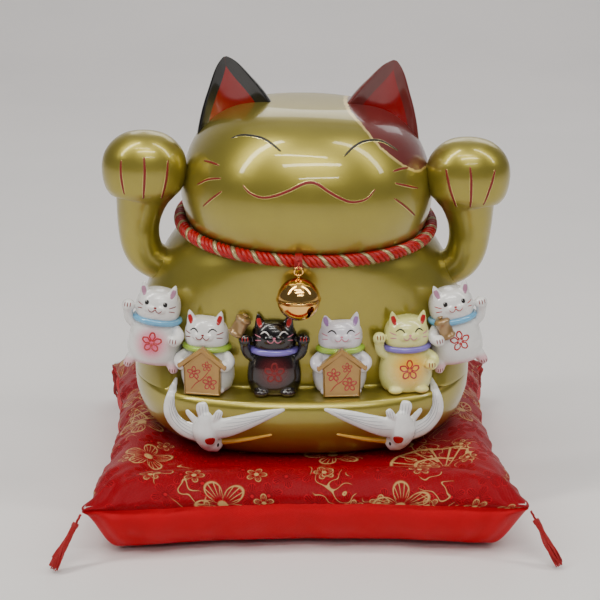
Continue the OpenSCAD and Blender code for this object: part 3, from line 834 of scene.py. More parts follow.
class Finish(Enum):
    """The finishes, by the name of the record's slot or paint."""
    GOLD = PearlGlaze()
    # Painted highlight: pale gold round the engraved strokes, standing in for the light on each groove's rim.
    LINE_EDGE = PearlGlaze("gold_line_edge", (0.60, 0.52, 0.15), (0.42, 0.34, 0.08), rough=0.25)
    HEAD = PearlGlaze("gold_glaze_patched", patch=(0.13, 0.020, 0.018), rim=(0.85, 0.66, 0.24))
    BLACK_EAR = Enamel("black_ear_glaze", (0.012, 0.011, 0.012), rough=0.12, coat=0.55, patch=(0.24, 0.002, 0.003))
    BROWN_EAR = Enamel("brown_ear_glaze", (0.13, 0.018, 0.016), rough=0.14, coat=0.55, patch=(0.24, 0.002, 0.003))
    BLACK = Enamel("black_glaze", (0.005, 0.003, 0.004), rough=0.2, coat=0.55, blush=(0.10, 0.008, 0.01))
    LINE_RED = Enamel("line_dark_red", (0.20, 0.002, 0.003), rough=0.5, coat=0.1)
    LINE_BLACK = Enamel("line_black", (0.006, 0.004, 0.004), rough=0.45, coat=0.1)
    WHITE = Enamel("white_glaze", (0.76, 0.75, 0.74), vary=0.05, blush=(0.70, 0.035, 0.15))
    CRANE = Enamel("crane_white", (0.82, 0.82, 0.82), vary=0.08)
    LILAC = Enamel("lilac_glaze", (0.72, 0.69, 0.76), vary=0.06, blush=(0.55, 0.42, 0.62))
    YELLOW = Enamel("yellow_glaze", (0.74, 0.73, 0.26), vary=0.08, blush=(0.84, 0.40, 0.0))
    PLAQUE = Enamel("plaque_glaze", (0.42, 0.225, 0.045), metal=0.35, rough=0.3)
    MALLET = Enamel("mallet_glaze", (0.36, 0.22, 0.09), metal=0.5, rough=0.3)
    RED = Enamel("enamel_red", (0.42, 0.006, 0.006), rough=0.3)
    PINK = Enamel("enamel_pink", (0.62, 0.18, 0.26), rough=0.3)
    LILAC_PAINT = Enamel("enamel_lilac", (0.34, 0.18, 0.42), rough=0.3)
    BLUE = Enamel("enamel_blue", (0.14, 0.43, 0.70), rough=0.3)
    GREEN = Enamel("enamel_green", (0.36, 0.56, 0.05), rough=0.3)
    INDIGO = Enamel("enamel_indigo", (0.20, 0.15, 0.56), rough=0.3)
    MAUVE = Enamel("enamel_mauve", (0.42, 0.20, 0.30), rough=0.3)
    GREY = Enamel("enamel_grey", (0.42, 0.43, 0.47), rough=0.35)
    BILL = Enamel("enamel_bill", (0.70, 0.36, 0.04), rough=0.3)
    SNOW = Enamel("enamel_white", (0.82, 0.78, 0.76), rough=0.3)
    BELL = BrightMetal("bell_gold", (0.95, 0.56, 0.16))
    STEEL = BrightMetal("steel", (0.55, 0.55, 0.56), rough=0.2)
    RED_CORD = Fibre("rope_red", (0.60, 0.002, 0.003), (0.20, 0.0, 0.001), rough=0.36)
    GOLD_CORD = Fibre("rope_gold", (0.66, 0.55, 0.30), (0.22, 0.15, 0.06), metal=0.6, rough=0.33)
    THREAD = Fibre("thread_red", (0.50, 0.004, 0.006), (0.24, 0.001, 0.003), lay=1.0)
    BROCADE = Satin("brocade", (0.40, 0.0, 0.009), figure=(0.56, 0.34, 0.13))
    SATIN = Satin("satin", (0.86, 0.0, 0.014), threads=2.6)
    WADDING = Enamel("wadding", (0.80, 0.79, 0.76), rough=0.95, coat=0.0)

    @property
    def material(self) -> bpy.types.Material:
        """The built material, made when it is first asked for."""
        return bpy.data.materials.get(FINISH_PREFIX + self.value.name) or self.value.build()


# ------------------------------------------------------------------ geometry nodes

def node_tree(name: str, inputs: Sequence[tuple[str, str]]) -> tuple:
    """A geometry tree with its inputs and one geometry output.

    Args:
        name: The tree's name.
        inputs: Name and socket kind of each input after the geometry.

    Returns:
        The tree, an add(kind, sockets, **props) function, the inputs by name and the end node.
    """
    tree = bpy.data.node_groups.new(name, "GeometryNodeTree")
    tree.interface.new_socket("Geometry", in_out="INPUT", socket_type="NodeSocketGeometry")
    for title, kind in inputs:
        tree.interface.new_socket(title, in_out="INPUT", socket_type="NodeSocket" + kind)
    tree.interface.new_socket("Geometry", in_out="OUTPUT", socket_type="NodeSocketGeometry")
    start, end = tree.nodes.new("NodeGroupInput"), tree.nodes.new("NodeGroupOutput")

    def add(kind: str, sockets: dict | None = None, **props: object) -> bpy.types.Node:
        """Adds one node and fills or links its sockets."""
        node = tree.nodes.new(kind)
        for key, value in props.items():
            setattr(node, key, value)
        fill(tree, node, sockets)
        return node

    return tree, add, {s.name: s for s in start.outputs if s.name}, end


def yarn_nodes(add: Callable, path: bpy.types.NodeSocket, radius: bpy.types.NodeSocket,
               sides: int) -> bpy.types.NodeSocket:
    """Wraps a curve in a round yarn that remembers the place along and round it.

    Args:
        add: The tree's node maker.
        path: The curve.
        radius: The yarn's radius.
        sides: Points round the yarn.

    Returns:
        The yarn as a mesh.
    """
    along = add("GeometryNodeSplineParameter")
    in_mm = add("ShaderNodeMath", {0: along.outputs["Length"], 1: 1000.0}, operation="MULTIPLY")
    path = add("GeometryNodeStoreNamedAttribute", {"Geometry": path, "Name": "along", "Value": in_mm.outputs[0]},
               data_type="FLOAT", domain="POINT").outputs[0]
    ring = add("GeometryNodeCurvePrimitiveCircle", {"Resolution": sides, "Radius": radius})
    turn = add("GeometryNodeSplineParameter")
    ring = add("GeometryNodeStoreNamedAttribute",
               {"Geometry": ring.outputs[0], "Name": "round", "Value": turn.outputs["Factor"]},
               data_type="FLOAT", domain="POINT").outputs[0]
    skin = add("GeometryNodeCurveToMesh", {"Curve": path, "Profile Curve": ring, "Fill Caps": True}).outputs[0]
    a = add("GeometryNodeInputNamedAttribute", {"Name": "along"}, data_type="FLOAT").outputs[0]
    b = add("GeometryNodeInputNamedAttribute", {"Name": "round"}, data_type="FLOAT").outputs[0]
    both = add("ShaderNodeCombineXYZ", {0: a, 1: b}).outputs[0]
    return add("GeometryNodeStoreNamedAttribute", {"Geometry": skin, "Name": "strand", "Value": both},
               data_type="FLOAT_VECTOR", domain="POINT").outputs[0]


def thread_tree() -> bpy.types.NodeTree:
    """Edges become smooth round threads. Inputs: Radius and Finish."""
    tree, add, start, end = node_tree("Threads", [("Radius", "Float"), ("Finish", "Material")])
    path = add("GeometryNodeMeshToCurve", {"Mesh": start["Geometry"]}).outputs[0]
    yarn = yarn_nodes(add, path, start["Radius"], 6)
    real = add("GeometryNodeRealizeInstances", {0: yarn}).outputs[0]
    done = add("GeometryNodeSetMaterial", {"Geometry": real, "Material": start["Finish"]}).outputs[0]
    tree.links.new(done, end.inputs[0])
    return tree


def rope_tree() -> bpy.types.NodeTree:
    """Edges become a rope of four twisted strands. Inputs: Offset, Radius, Turns, Step and two finishes."""
    tree, add, start, end = node_tree("Rope", [
        ("Offset", "Float"), ("Radius", "Float"), ("Turns", "Float"), ("Step", "Float"),
        ("Red", "Material"), ("Gold", "Material")])
    path = add("GeometryNodeMeshToCurve", {"Mesh": start["Geometry"]}).outputs[0]
    path = add("GeometryNodeResampleCurve", {"Curve": path, "Length": start["Step"]}, mode="LENGTH").outputs[0]
    path = add("GeometryNodeSetCurveNormal", {"Curve": path}, mode="MINIMUM_TWIST").outputs[0]
    factor = add("GeometryNodeSplineParameter").outputs["Factor"]

    def number(op: str, *values: object) -> bpy.types.NodeSocket:
        """One arithmetic step."""
        return add("ShaderNodeMath", dict(enumerate(values)), operation=op).outputs[0]

    def vector(op: str, sockets: dict) -> bpy.types.NodeSocket:
        """One step on vectors."""
        return add("ShaderNodeVectorMath", sockets, operation=op).outputs[0]

    turned = number("MULTIPLY", number("MULTIPLY", factor, start["Turns"]), TAU)
    normal = add("GeometryNodeInputNormal").outputs[0]
    tangent = add("GeometryNodeInputTangent").outputs[0]
    side = vector("CROSS_PRODUCT", {0: tangent, 1: normal})
    strands = []
    for k in range(4):
        angle = number("ADD", turned, k * math.pi / 2)
        out = vector("SCALE", {0: normal, "Scale": number("COSINE", angle)})
        up = vector("SCALE", {0: side, "Scale": number("SINE", angle)})
        move = vector("SCALE", {0: vector("ADD", {0: out, 1: up}), "Scale": start["Offset"]})
        moved = add("GeometryNodeSetPosition", {"Geometry": path, "Offset": move}).outputs[0]
        yarn = yarn_nodes(add, moved, start["Radius"], 10)
        real = add("GeometryNodeRealizeInstances", {0: yarn}).outputs[0]
        strands.append(add("GeometryNodeSetMaterial", {
            "Geometry": real, "Material": start["Gold" if k == 0 else "Red"]}).outputs[0])
    together = add("GeometryNodeJoinGeometry")
    for strand in reversed(strands):
        tree.links.new(strand, together.inputs[0])
    tree.links.new(together.outputs[0], end.inputs[0])
    return tree


def grown(name: str, lines: Sequence[tuple[np.ndarray, bool]], tree: bpy.types.NodeTree,
          values: dict[str, object]) -> bpy.types.Object:
    """Runs a geometry tree on plain lines and keeps the mesh.

    Args:
        name: The piece's name.
        lines: Points in millimetres of each line, and whether it is closed.
        tree: The tree.
        values: Its inputs by name, in metres.

    Returns:
        A plain mesh object.
    """
    verts, edges = [], []
    for points, closed in lines:
        first = len(verts)
        verts += [tuple(p * MM) for p in np.asarray(points, float)]
        edges += [(i, i + 1) for i in range(first, len(verts) - 1)]
        if closed:
            edges.append((len(verts) - 1, first))
    mesh = bpy.data.meshes.new(name)
    mesh.from_pydata(verts, edges, [])
    obj = link_object(name, mesh)
    live = obj.modifiers.new(tree.name, "NODES")
    live.node_group = tree
    for item in tree.interface.items_tree:
        if item.in_out == "INPUT" and item.name in values:
            live[item.identifier] = values[item.name]
    apply_modifiers(obj)
    shade_smooth(obj.data)
    return obj


def ready(obj: bpy.types.Object, body: str, slot: str, *nodes: str) -> None:
    """Hands a finished piece to the frame.

    Args:
        obj: The piece.
        body: The body that it moves with.
        slot: The record's slot of its finish; not used.
        *nodes: The frame's nodes that it stands for.
    """
    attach(obj, body)
    if nodes:
        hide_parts(*nodes)
    log.info("%-26s %7d faces on %s", obj.name, len(obj.data.polygons), body)


# ------------------------------------------------------------------ studio

@dataclass
class Studio:
    """Camera, soft light and floor."""
    camera_at: Point = (-0.0188, -0.910, 0.3807)
    yaw: float = 1.133
    pitch: float = 17.5
    lens: float = 116.8

    def camera(self) -> None:
        """Places the camera."""
        data = bpy.data.cameras.new("camera")
        data.lens, data.sensor_width = self.lens, 36.0
        cam = link_object("camera", data)
        cam.location = self.camera_at
        cam.rotation_euler = (math.radians(90 - self.pitch), 0, math.radians(-self.yaw))
        bpy.context.scene.camera = cam

    def lamp(self, name: str, at: Point, aim: Point, size: tuple[float, float], power: float,
             colour: Point = (1, 1, 1), mirrored: bool = True) -> None:
        """One rectangular lamp, in metres and watts, which glossy surfaces mirror or not."""
        data = bpy.data.lights.new(name, "AREA")
        data.shape = "RECTANGLE"
        data.size, data.size_y = size
        data.energy, data.color = power, colour
        obj = link_object(name, data)
        obj.location = at
        obj.rotation_euler = (Vector(aim) - Vector(at)).to_track_quat("-Z", "Y").to_euler()
        obj.visible_glossy = mirrored

    def light(self) -> None:
        """Overhead tubes, a broad fill and an even surround."""
        middle = (0.0, 0.0, 0.12)
        self.lamp("tube_left", (-0.75, -0.35, 1.25), middle, (0.12, 1.3), 11, (1.0, 0.98, 0.9))
        self.lamp("tube_right", (0.85, -0.25, 1.2), middle, (0.12, 1.3), 7, (1.0, 0.98, 0.9))
        self.lamp("tube_front", (0.1, -1.0, 1.35), middle, (1.1, 0.10), 8, (1.0, 0.98, 0.92))
        self.lamp("tube_front_high", (-0.1, -0.72, 1.5), middle, (0.9, 0.05), 4, (1.0, 0.98, 0.92))
        self.lamp("tube_front_low", (0.25, -1.35, 1.05), middle, (0.8, 0.04), 3, (1.0, 0.98, 0.92))
        self.lamp("fill_front", (-0.9, -1.9, 1.3), middle, (1.2, 0.8), 4, mirrored=False)
        self.lamp("fill_floor", (0.0, 0.2, 2.2), middle, (2.4, 2.4), 6)
        self.lamp("back", (0.3, 1.3, 0.9), middle, (1.4, 0.5), 4)
        world = bpy.data.worlds.new("surround")
        world.use_nodes = True
        fill(world.node_tree, world.node_tree.nodes["Background"], {0: (0.93, 0.94, 1.0, 1), 1: 0.11})
        bpy.context.scene.world = world

    def floor(self) -> None:
        """A pale floor that curves up into a backdrop."""
        half, start, bend = 3000, 1100, 500
        profile = [(-half, 0), (start, 0)] + [
            (start + bend * math.sin(a), bend - bend * math.cos(a)) for a in np.linspace(0.1, math.pi / 2, 12)]
        profile.append((start + bend, half))
        faces = [[2 * i, 2 * i + 1, 2 * i + 3, 2 * i + 2] for i in range(len(profile) - 1)]
        floor = new_object("floor", [(x, y, z) for y, z in profile for x in (-half, half)], faces)
        m, s, surface, at = start_material("floor_paper")
        tone = s.mix(s.step(s.noise(at, 6.0, 3), 0.3, 0.7), (0.80, 0.77, 0.77, 1), (0.77, 0.745, 0.745, 1))
        fill(m.node_tree, surface, {"Base Color": tone, "Roughness": 0.8})
        paint(floor, m)


# ------------------------------------------------------------------ cushion

@dataclass
class Cushion:
    """Square brocade cushion: crowned top, satin underside, wadding and corner tassels."""
    half: float = 101.0
    pull: float = 9.0
    seam_z: float = 26.0
    cells: int = 110
    top: Sequence[Row] = ((0, 32.7), (0.3, 32.7), (0.64, 32.7), (0.71, 33.3), (0.8, 36.4), (0.87, 37),
                          (0.93, 34.6), (0.985, 30), (1, 26))
    bottom: Sequence[Row] = ((0, 0), (0.4, 0), (0.74, 0), (0.82, 1), (0.9, 4.5), (0.955, 11),
                             (0.99, 20), (1, 26))
    cap: float = 3.2            # farthest that the cloth may swell, in millimetres
    sim_frames: int = 20

    def profile(self, rows: Sequence[Row]) -> tuple[np.ndarray, np.ndarray, np.ndarray]:
        """Run, share and height along the cloth from the middle to the seam."""
        fine = spline(rows, 8)
        step = np.hypot(np.diff(fine[:, 0]) * (self.half - self.pull * 0.5), np.diff(fine[:, 1]))
        run = np.concatenate([[0], np.cumsum(step)])
        return run, fine[:, 0], fine[:, 1]

    def outline(self, share: float, across: float) -> float:
        """Distance of a side from the middle at one share, pulled in between the corners."""
        return share * (self.half - self.pull * (1 - across ** 2))

    def grid(self) -> tuple[list, list, list, list]:
        """Points, faces, cloth map and slots of the closed cover."""
        n = self.cells
        verts: list[Point] = []
        cloth: list[Point] = []
        index: dict = {}
        faces, slots = [], []
        for side, rows in ((1, self.top), (0, self.bottom)):
            run, share, height = self.profile(rows)
            for j in range(n + 1):
                for i in range(n + 1):
                    u, v = 2 * i / n - 1, 2 * j / n - 1
                    g = max(abs(u), abs(v))
                    key = (i, j) if g > 0.9999 else (i, j, side)
                    if key in index:
                        continue
                    s = float(np.interp(g * run[-1], run, share))
                    z = float(np.interp(g * run[-1], run, height))
                    a, b = (u / g, v / g) if g > 0 else (0.0, 0.0)
                    if abs(u) >= abs(v):
                        x, y = a * self.outline(s, b), b * s * self.half
                    else:
                        x, y = a * s * self.half, b * self.outline(s, a)
                    index[key] = len(verts)
                    verts.append((x, y, z))
                    cloth.append((u * run[-1], v * run[-1]))
            for j in range(n):
                for i in range(n):
                    quad = [index.get((a, b), index.get((a, b, side)))
                            for a, b in ((i, j), (i + 1, j), (i + 1, j + 1), (i, j + 1))]
                    faces.append(quad if side else quad[::-1])
                    slots.append(0 if side else 1)
        return verts, faces, cloth, slots

    def swell(self, cover: bpy.types.Object) -> None:
        """Inflates the cover a little as cloth, holding what the cat and the floor press flat."""
        rest = np.array([v.co for v in cover.data.vertices])
        share = np.max(np.abs(rest[:, :2]), axis=1) / (self.half * MM)
        held = cover.vertex_groups.new(name="pressed")
        flat = (share < 0.70) | ((rest[:, 2] < 1.2 * MM) & (share < 0.84))
        held.add([int(i) for i in np.nonzero(flat)[0]], 1.0, "REPLACE")
        cloth = cover.modifiers.new("cloth", "CLOTH")
        cloth.settings.use_pressure = True
        cloth.settings.uniform_pressure_force = 4.0
        cloth.settings.vertex_group_mass = held.name
        cloth.settings.quality = 6
        cloth.settings.tension_stiffness = 12
        cloth.settings.bending_stiffness = 0.4
        cloth.settings.effector_weights.gravity = 0.0
        cloth.point_cache.frame_end = self.sim_frames
        for frame in range(1, self.sim_frames + 1):
            bpy.context.scene.frame_set(frame)
        graph = bpy.context.evaluated_depsgraph_get()
        moved = np.array([v.co for v in cover.evaluated_get(graph).data.vertices])
        bpy.context.scene.frame_set(1)
        cover.modifiers.clear()
        cover.vertex_groups.clear()
        step = moved - rest
        size = np.linalg.norm(step, axis=1)
        size[size == 0] = 1
        step *= np.minimum(1, self.cap * MM / size)[:, None]
        after = rest + step
        cover.data.vertices.foreach_set("co", after.ravel())

    def crease(self, cover: bpy.types.Object) -> None:
        """Gathers along the seam, pull lines into the corners and loose ripples in the side walls."""
        mesh = cover.data
        co = np.array([v.co for v in mesh.vertices]) / MM
        normals = np.array([v.normal for v in mesh.vertices])
        x, y, z = co.T
        share = np.max(np.abs(co[:, :2]), axis=1) / self.half
        along = np.where(np.abs(x) > np.abs(y), y + 300 * np.sign(x), x + 700 * np.sign(y))
        wall = smoothstep(0.76, 0.95, share)
        near_seam = np.exp(-((z - self.seam_z) / 4.5) ** 2)
        gathers = np.sin(along * 0.83 + 2.3 * np.sin(along * 0.11)) * np.sin(along * 0.29 + 1.0) * near_seam * 0.55
        slack = (np.sin(along * 0.155 + 0.06 * z) + 0.6 * np.sin(along * 0.31 - 0.11 * z + 1.7)) * wall * 0.75
        corner = np.minimum(np.abs(x), np.abs(y)) / self.half
        pulls = np.sin((np.abs(x) - np.abs(y)) * 0.5) * smoothstep(0.62, 0.9, corner) * 0.9
        seat = 1 - smoothstep(0.66, 0.8, share)
        total = (gathers + slack + pulls) * (1 - seat) * smoothstep(0.0, 6.0, z)
        lip = np.exp(-((z - self.seam_z - 1.6) / 1.5) ** 2) - 1.5 * np.exp(-((z - self.seam_z + 1.4) / 1.6) ** 2)
        co += normals * (total + lip * smoothstep(0.86, 0.95, share))[:, None]
        tip = np.hypot(self.half - np.abs(co[:, 0]), self.half - np.abs(co[:, 1]))
        full = 0.15 + 0.85 * smoothstep(-1.0, 21.0, tip)
        middle = np.exp(-(co[:, 0] / 34) ** 2) * (np.abs(y) > np.abs(x)) * smoothstep(0.84, 0.95, share)
        co[:, 2] += 3.2 * middle * (1 - smoothstep(4.0, self.seam_z, co[:, 2]))
        co[:, 2] = self.seam_z + (co[:, 2] - self.seam_z) * full
        co[:, 2] = np.maximum(co[:, 2], 0.0)
        mesh.vertices.foreach_set("co", (co * MM).ravel())
        mesh.update()

    def cover(self) -> bpy.types.Object:
        """The closed cover: brocade above the seam and satin below."""
        verts, faces, cloth, slots = self.grid()
        cover = new_object("cushion_cover", verts, faces)
        paint(cover, Finish.BROCADE.material, Finish.SATIN.material)
        layer = cover.data.uv_layers.new(name="cloth")
        for poly in cover.data.polygons:
            poly.material_index = slots[poly.index]
            for corner in poly.loop_indices:
                u, v = cloth[cover.data.loops[corner].vertex_index]
                layer.data[corner].uv = (u / UV_MM, v / UV_MM)
        self.swell(cover)
        cover.data.update()
        self.crease(cover)
        finer = cover.modifiers.new("finer", "SUBSURF")
        finer.levels = finer.render_levels = 1
        apply_modifiers(cover)
        return cover

    def wadding(self, cover: bpy.types.Object) -> bpy.types.Object:
        """The stuffing just inside the cover."""
        mesh = cover.data.copy()
        mesh.name = "cushion_wadding"
        co = np.array([v.co for v in mesh.vertices])
        normals = np.array([v.normal for v in mesh.vertices])
        mesh.vertices.foreach_set("co", (co - normals * 1.8 * MM).ravel())
        obj = link_object("cushion_wadding", mesh)
        shrink = obj.modifiers.new("fewer", "DECIMATE")
        shrink.ratio = 0.25
        apply_modifiers(obj)
        return paint(obj, Finish.WADDING.material)

    def tassel(self, name: str, sx: int, sy: int, threads: bpy.types.NodeTree) -> bpy.types.Object:
        """A tassel: cord, bound head and loose threads, from one corner."""
        reach = (13.0, 9.0) if sy < 0 else (-3.0, 9.0)
        start = np.array([sx * (self.half + 0.6), sy * (self.half + 0.2), self.seam_z - 1])
        end = start + np.array([sx * reach[0], sy * reach[1], -23.0])
        down = (end - start) / np.linalg.norm(end - start)
        side = np.cross(down, (0, 0, 1))
        side /= np.linalg.norm(side)
        up = np.cross(side, down)
        rng = random.Random(31 + 7 * sx + 3 * sy)
        lines: list[tuple[np.ndarray, bool]] = []
        for k in range(3):
            a = TAU * k / 3
            path = [start + down * t + 0.35 * (side * math.cos(a + t) + up * math.sin(a + t))
                    for t in np.linspace(0, 5, 12)]
            lines.append((np.array(path), False))
        for i in range(4):
            ring = [start + down * (4.6 + 0.55 * i)
                    + (1.45 - 0.05 * (i - 1.5) ** 2) * (side * math.cos(b) + up * math.sin(b))
                    for b in np.linspace(0, TAU, 20, endpoint=False)]
            lines.append((np.array(ring), True))
        length = np.linalg.norm(end - start)
        for k in range(54):
            a, r = rng.uniform(0, TAU), math.sqrt(rng.random())
            lock = (k % 3 - 1) * 1.5
            spread, bow = r * rng.uniform(0.9, 1.9), rng.uniform(-0.5, 0.5)
            reach_out = length - rng.uniform(0, 5.0)
            path = []
            for t in np.linspace(0, 1, 12):
                away = (0.4 + 0.5 * r) * (1 - t) + spread * t
                swing = bow * math.sin(t * 6 + a) + lock * t ** 1.4 + 0.5 * math.sin(6 * t + (k % 3) * 2.1)
                path.append(start + down * (4.4 + (reach_out - 4.4) * t)
                            + (side * math.cos(a + 3 * t) + up * math.sin(a + 3 * t)) * away + side * swing)
            lines.append((np.array(path), False))
        obj = grown(name, lines, threads, {"Radius": 0.27 * MM, "Finish": Finish.THREAD.material})
        for v in obj.data.vertices:
            v.co.z = max(v.co.z, 0.0)
        return obj

    def build(self, threads: bpy.types.NodeTree) -> None:
        """Makes the cushion and hands it to the frame."""
        cover = self.cover()
        wadding = self.wadding(cover)
        ready(cover, "cushion", "brocade", "cushion_top_cover", "cushion_bottom_cover")
        ready(wadding, "cushion", "wadding", "cushion_filling")
        for end, sy in (("front", -1), ("back", 1)):
            for side, sx in (("left", -1), ("right", 1)):
                ready(self.tassel(f"threads_{end}_{side}", sx, sy, threads), "cushion", "thread_red",
                      f"tassel_{end}_{side}")


# ------------------------------------------------------------------ the cat's castings

@dataclass
class CatCasting:
    """Body, head, ears and arms of the large cat with their painted lines."""
    plinth: Sequence[Row] = (
        (33, 61, 50.5, 51, 2.5, 0), (36.5, 69.5, 56, 57.5, 2.5, 0), (44, 77, 61.2, 63, 2.5, 0),
        (54, 80.8, 64, 65.5, 2.5, 0), (60.5, 81.6, 64.2, 66.5, 2.5, 0), (63.5, 81.8, 61.8, 66.5, 2.5, 0))
    belly: Sequence[Row] = (
        (63.5, 81.8, 43, 66.5, 2.5, 0), (76, 81.4, 46, 66.5, 2.35, 0), (94, 78.2, 48.6, 64, 2.25, 0),
        (110, 73, 49.8, 60, 2.2, 0.02), (122, 66.6, 50.8, 56, 2.15, 0.06), (129, 61.2, 51.2, 53, 2.1, 0.09),
        (135.2, 56.4, 50.4, 50.5, 2.1, 0.105))
    flank: Sequence[Row] = ((63.5, 61.8), (76, 58.5), (94, 54.5), (110, 51.2), (122, 50.8), (129, 51.2),
                            (135.2, 50.4))
    niche: tuple[float, float] = (54.0, 66.0)
    head: Sequence[Row] = (
        (0, 56.4, 50.4, 50.5, 2.1, 0.105), (4, 58.4, 55.5, 52.5, 2.1, 0.08), (14, 60.3, 59.5, 54, 2.15, 0.03),
        (26, 59, 59.5, 53, 2.15, 0), (38, 54.5, 55, 49.5, 2.15, 0), (48, 46.5, 47, 43, 2.2, 0),
        (54, 36, 37, 34.5, 2.3, 0), (57, 23, 25, 23.5, 2.3, 0), (57.8, 9, 11, 10, 2.2, 0))
    arm: Sequence[Row] = (
        (-66.5, -5, 111.4, 8.4, 8.8), (-71.2, -6, 113.7, 8.7, 9), (-76.2, -7, 117.6, 9.1, 9.3),
        (-79, -8, 123.5, 9.5, 9.6), (-80, -9, 130.5, 9.8, 10), (-79.8, -11, 138, 10.6, 10.8),
        (-79, -12, 144, 11.8, 12), (-78.2, -13, 148, 12.8, 12.8))
    paw: Sequence[Row] = (
        (-77.8, -14, 149.4, 15.6, 14.2), (-77.4, -15, 153, 18.2, 15.6), (-77.2, -15, 158.5, 19.8, 16.4),
        (-77.2, -15, 164.5, 20, 16.5), (-77.2, -15, 170, 18.6, 15.4), (-77.2, -15, 175, 15, 12.6),
        (-77.2, -15, 178.6, 9.6, 8.2), (-77.2, -15, 180.2, 2.6, 2.2))
    vent_r: float = 8.0
    right_arm_in: float = 1.4
    sides: int = 216

    def flank_share(self, z: float, x: np.ndarray) -> np.ndarray:
        """How much further forward the flanks stand than the niche, at a height."""
        full = row_at(self.flank, z)[1] / row_at(self.belly, z)[2] - 1
        return smoothstep(self.niche[0], self.niche[1], np.abs(x)) * full

    def skin_y(self, x: float, z: float) -> float:
        """Front of the body at x and z."""
        row = row_at(self.plinth if z < LEDGE_Z else self.belly, z)
        y = -row[2] * (1 - min(abs(x) / row[1], 1) ** row[4]) ** (1 / row[4])
        return y if z < LEDGE_Z else float(y * (1 + self.flank_share(z, np.array([x]))[0]))

    def body(self) -> bpy.types.Object:
        """The seated body, with the ledge, the niche over it and the vent in its base."""
        rings = [oval((z, self.vent_r, self.vent_r, self.vent_r, 2, 0), self.sides) for z in (SEAT_Z + 12, SEAT_Z)]
        rings += [leaned(even_ring(oval(r, self.sides))) for r in spline(self.plinth, 8)]
        for row in spline(self.belly, 10):
            ring = even_ring(oval(row, self.sides))
            front = ring[:, 1] < 0
            ring[front, 1] *= 1 + self.flank_share(max(row[0], LEDGE_Z), ring[front, 0])
            rings.append(leaned(ring))
        obj = new_object("cat_body", np.vstack(rings), loft_faces(len(rings), self.sides))
        soften(obj, 0.5, 3)
        return paint(obj, Finish.GOLD.material)

    def head_mesh(self) -> bpy.types.Object:
        """The head before it leans, with the distance to the patch's edge on every point."""
        rows = spline(self.head, 9)
        rings = [even_ring(oval((r[0] + NECK_Z, *r[1:]), self.sides)) for r in rows]
        obj = new_object("cat_head", np.vstack(rings), loft_faces(len(rings), self.sides))
        edge = np.array([(11.3, 196.5), (18.8, 192.2), (22.9, 189.5), (28.3, 184.3), (32.9, 179.7), (38.1, 175.5),
                         (42.5, 172), (46.6, 169.3), (50.9, 167), (56, 166.6), (64, 168)])
        co = np.array([v.co for v in obj.data.vertices]) / MM
        over = co[:, 2] - np.interp(co[:, 0], edge[:, 0], edge[:, 1])
        near = np.min(np.linalg.norm(co[:, None, ::2] - spline(edge, 6)[None], axis=2), axis=1)
        far = np.where(over > 0, near, -near)
        far = np.minimum(far, co[:, 0] - 9.0)
        far = np.minimum(far, 26.0 - co[:, 1])
        obj.data.attributes.new("patch", "FLOAT", "POINT").data.foreach_set("value", far)
        return paint(obj, Finish.HEAD.material)

    def face_strokes(self) -> dict[str, list]:
        """The engraved strokes of the face by paint, as (x, z) points and width."""
        eyes = [([(-36.4, 181.6), (-32.3, 183.5), (-27.7, 184.1), (-22.2, 183.8), (-17.6, 182), (-13.5, 179.5)], 1.25),
                ([(15.1, 178), (18.8, 181), (23.4, 183), (28.2, 183.3), (33, 182.3), (36.8, 180.2), (40.7, 177.6)], 1.25)]
        mouth = [([(-30.4, 163.9), (-27.2, 161), (-21.7, 159.6), (-15.9, 160.9), (-9.2, 163.8), (-3.8, 166.6),
                   (-0.2, 167.5), (3.4, 166.7), (8, 163.7), (13.5, 160.6), (19, 158.6), (25.5, 159.5),
                   (29.6, 163.5)], 1.35)]
        whiskers = [([(-48.8, 170), (-45.2, 170.4), (-41.6, 170.2)], 1.0),
                    ([(-51.8, 158.9), (-46.6, 163), (-40.6, 165)], 1.0),
                    ([(-48.8, 150), (-44.6, 155.1), (-40, 159.6)], 1.0),
                    ([(38.1, 169.9), (41.8, 170.2), (45.6, 169.9)], 1.0),
                    ([(39.1, 164.8), (45.6, 162.2), (50.8, 159.7)], 1.0),
                    ([(38.8, 158.2), (44.4, 153.3), (49.8, 147.2)], 1.0)]
        return {"black": eyes, "red": mouth + whiskers}

    def build_head(self) -> None:
        """The head, its strokes and both ears."""
        head = self.head_mesh()
        skin = surface_of(head)
        strokes = self.face_strokes()
        # Each stroke of the face gets a painted highlight edge round it.
        black = laid_lines("face_lines_black", skin, strokes["black"], (Finish.LINE_BLACK, Finish.LINE_EDGE))
        red = laid_lines("face_lines_red", skin, strokes["red"], (Finish.LINE_RED, Finish.LINE_EDGE))
        for obj, slot, nodes in (
                (head, "gold_glaze", ["head_casting"]), (black, "black_glaze", []), (red, "black_glaze", []),
                (self.ear("ear_left", 1, Finish.BLACK_EAR), "black_glaze", ["left_ear"]),
                (self.ear("ear_right", -1, Finish.BROWN_EAR), "brown_glaze", ["right_ear"])):
            ready(transform(obj, lean_matrix()), "cat", slot, *nodes)

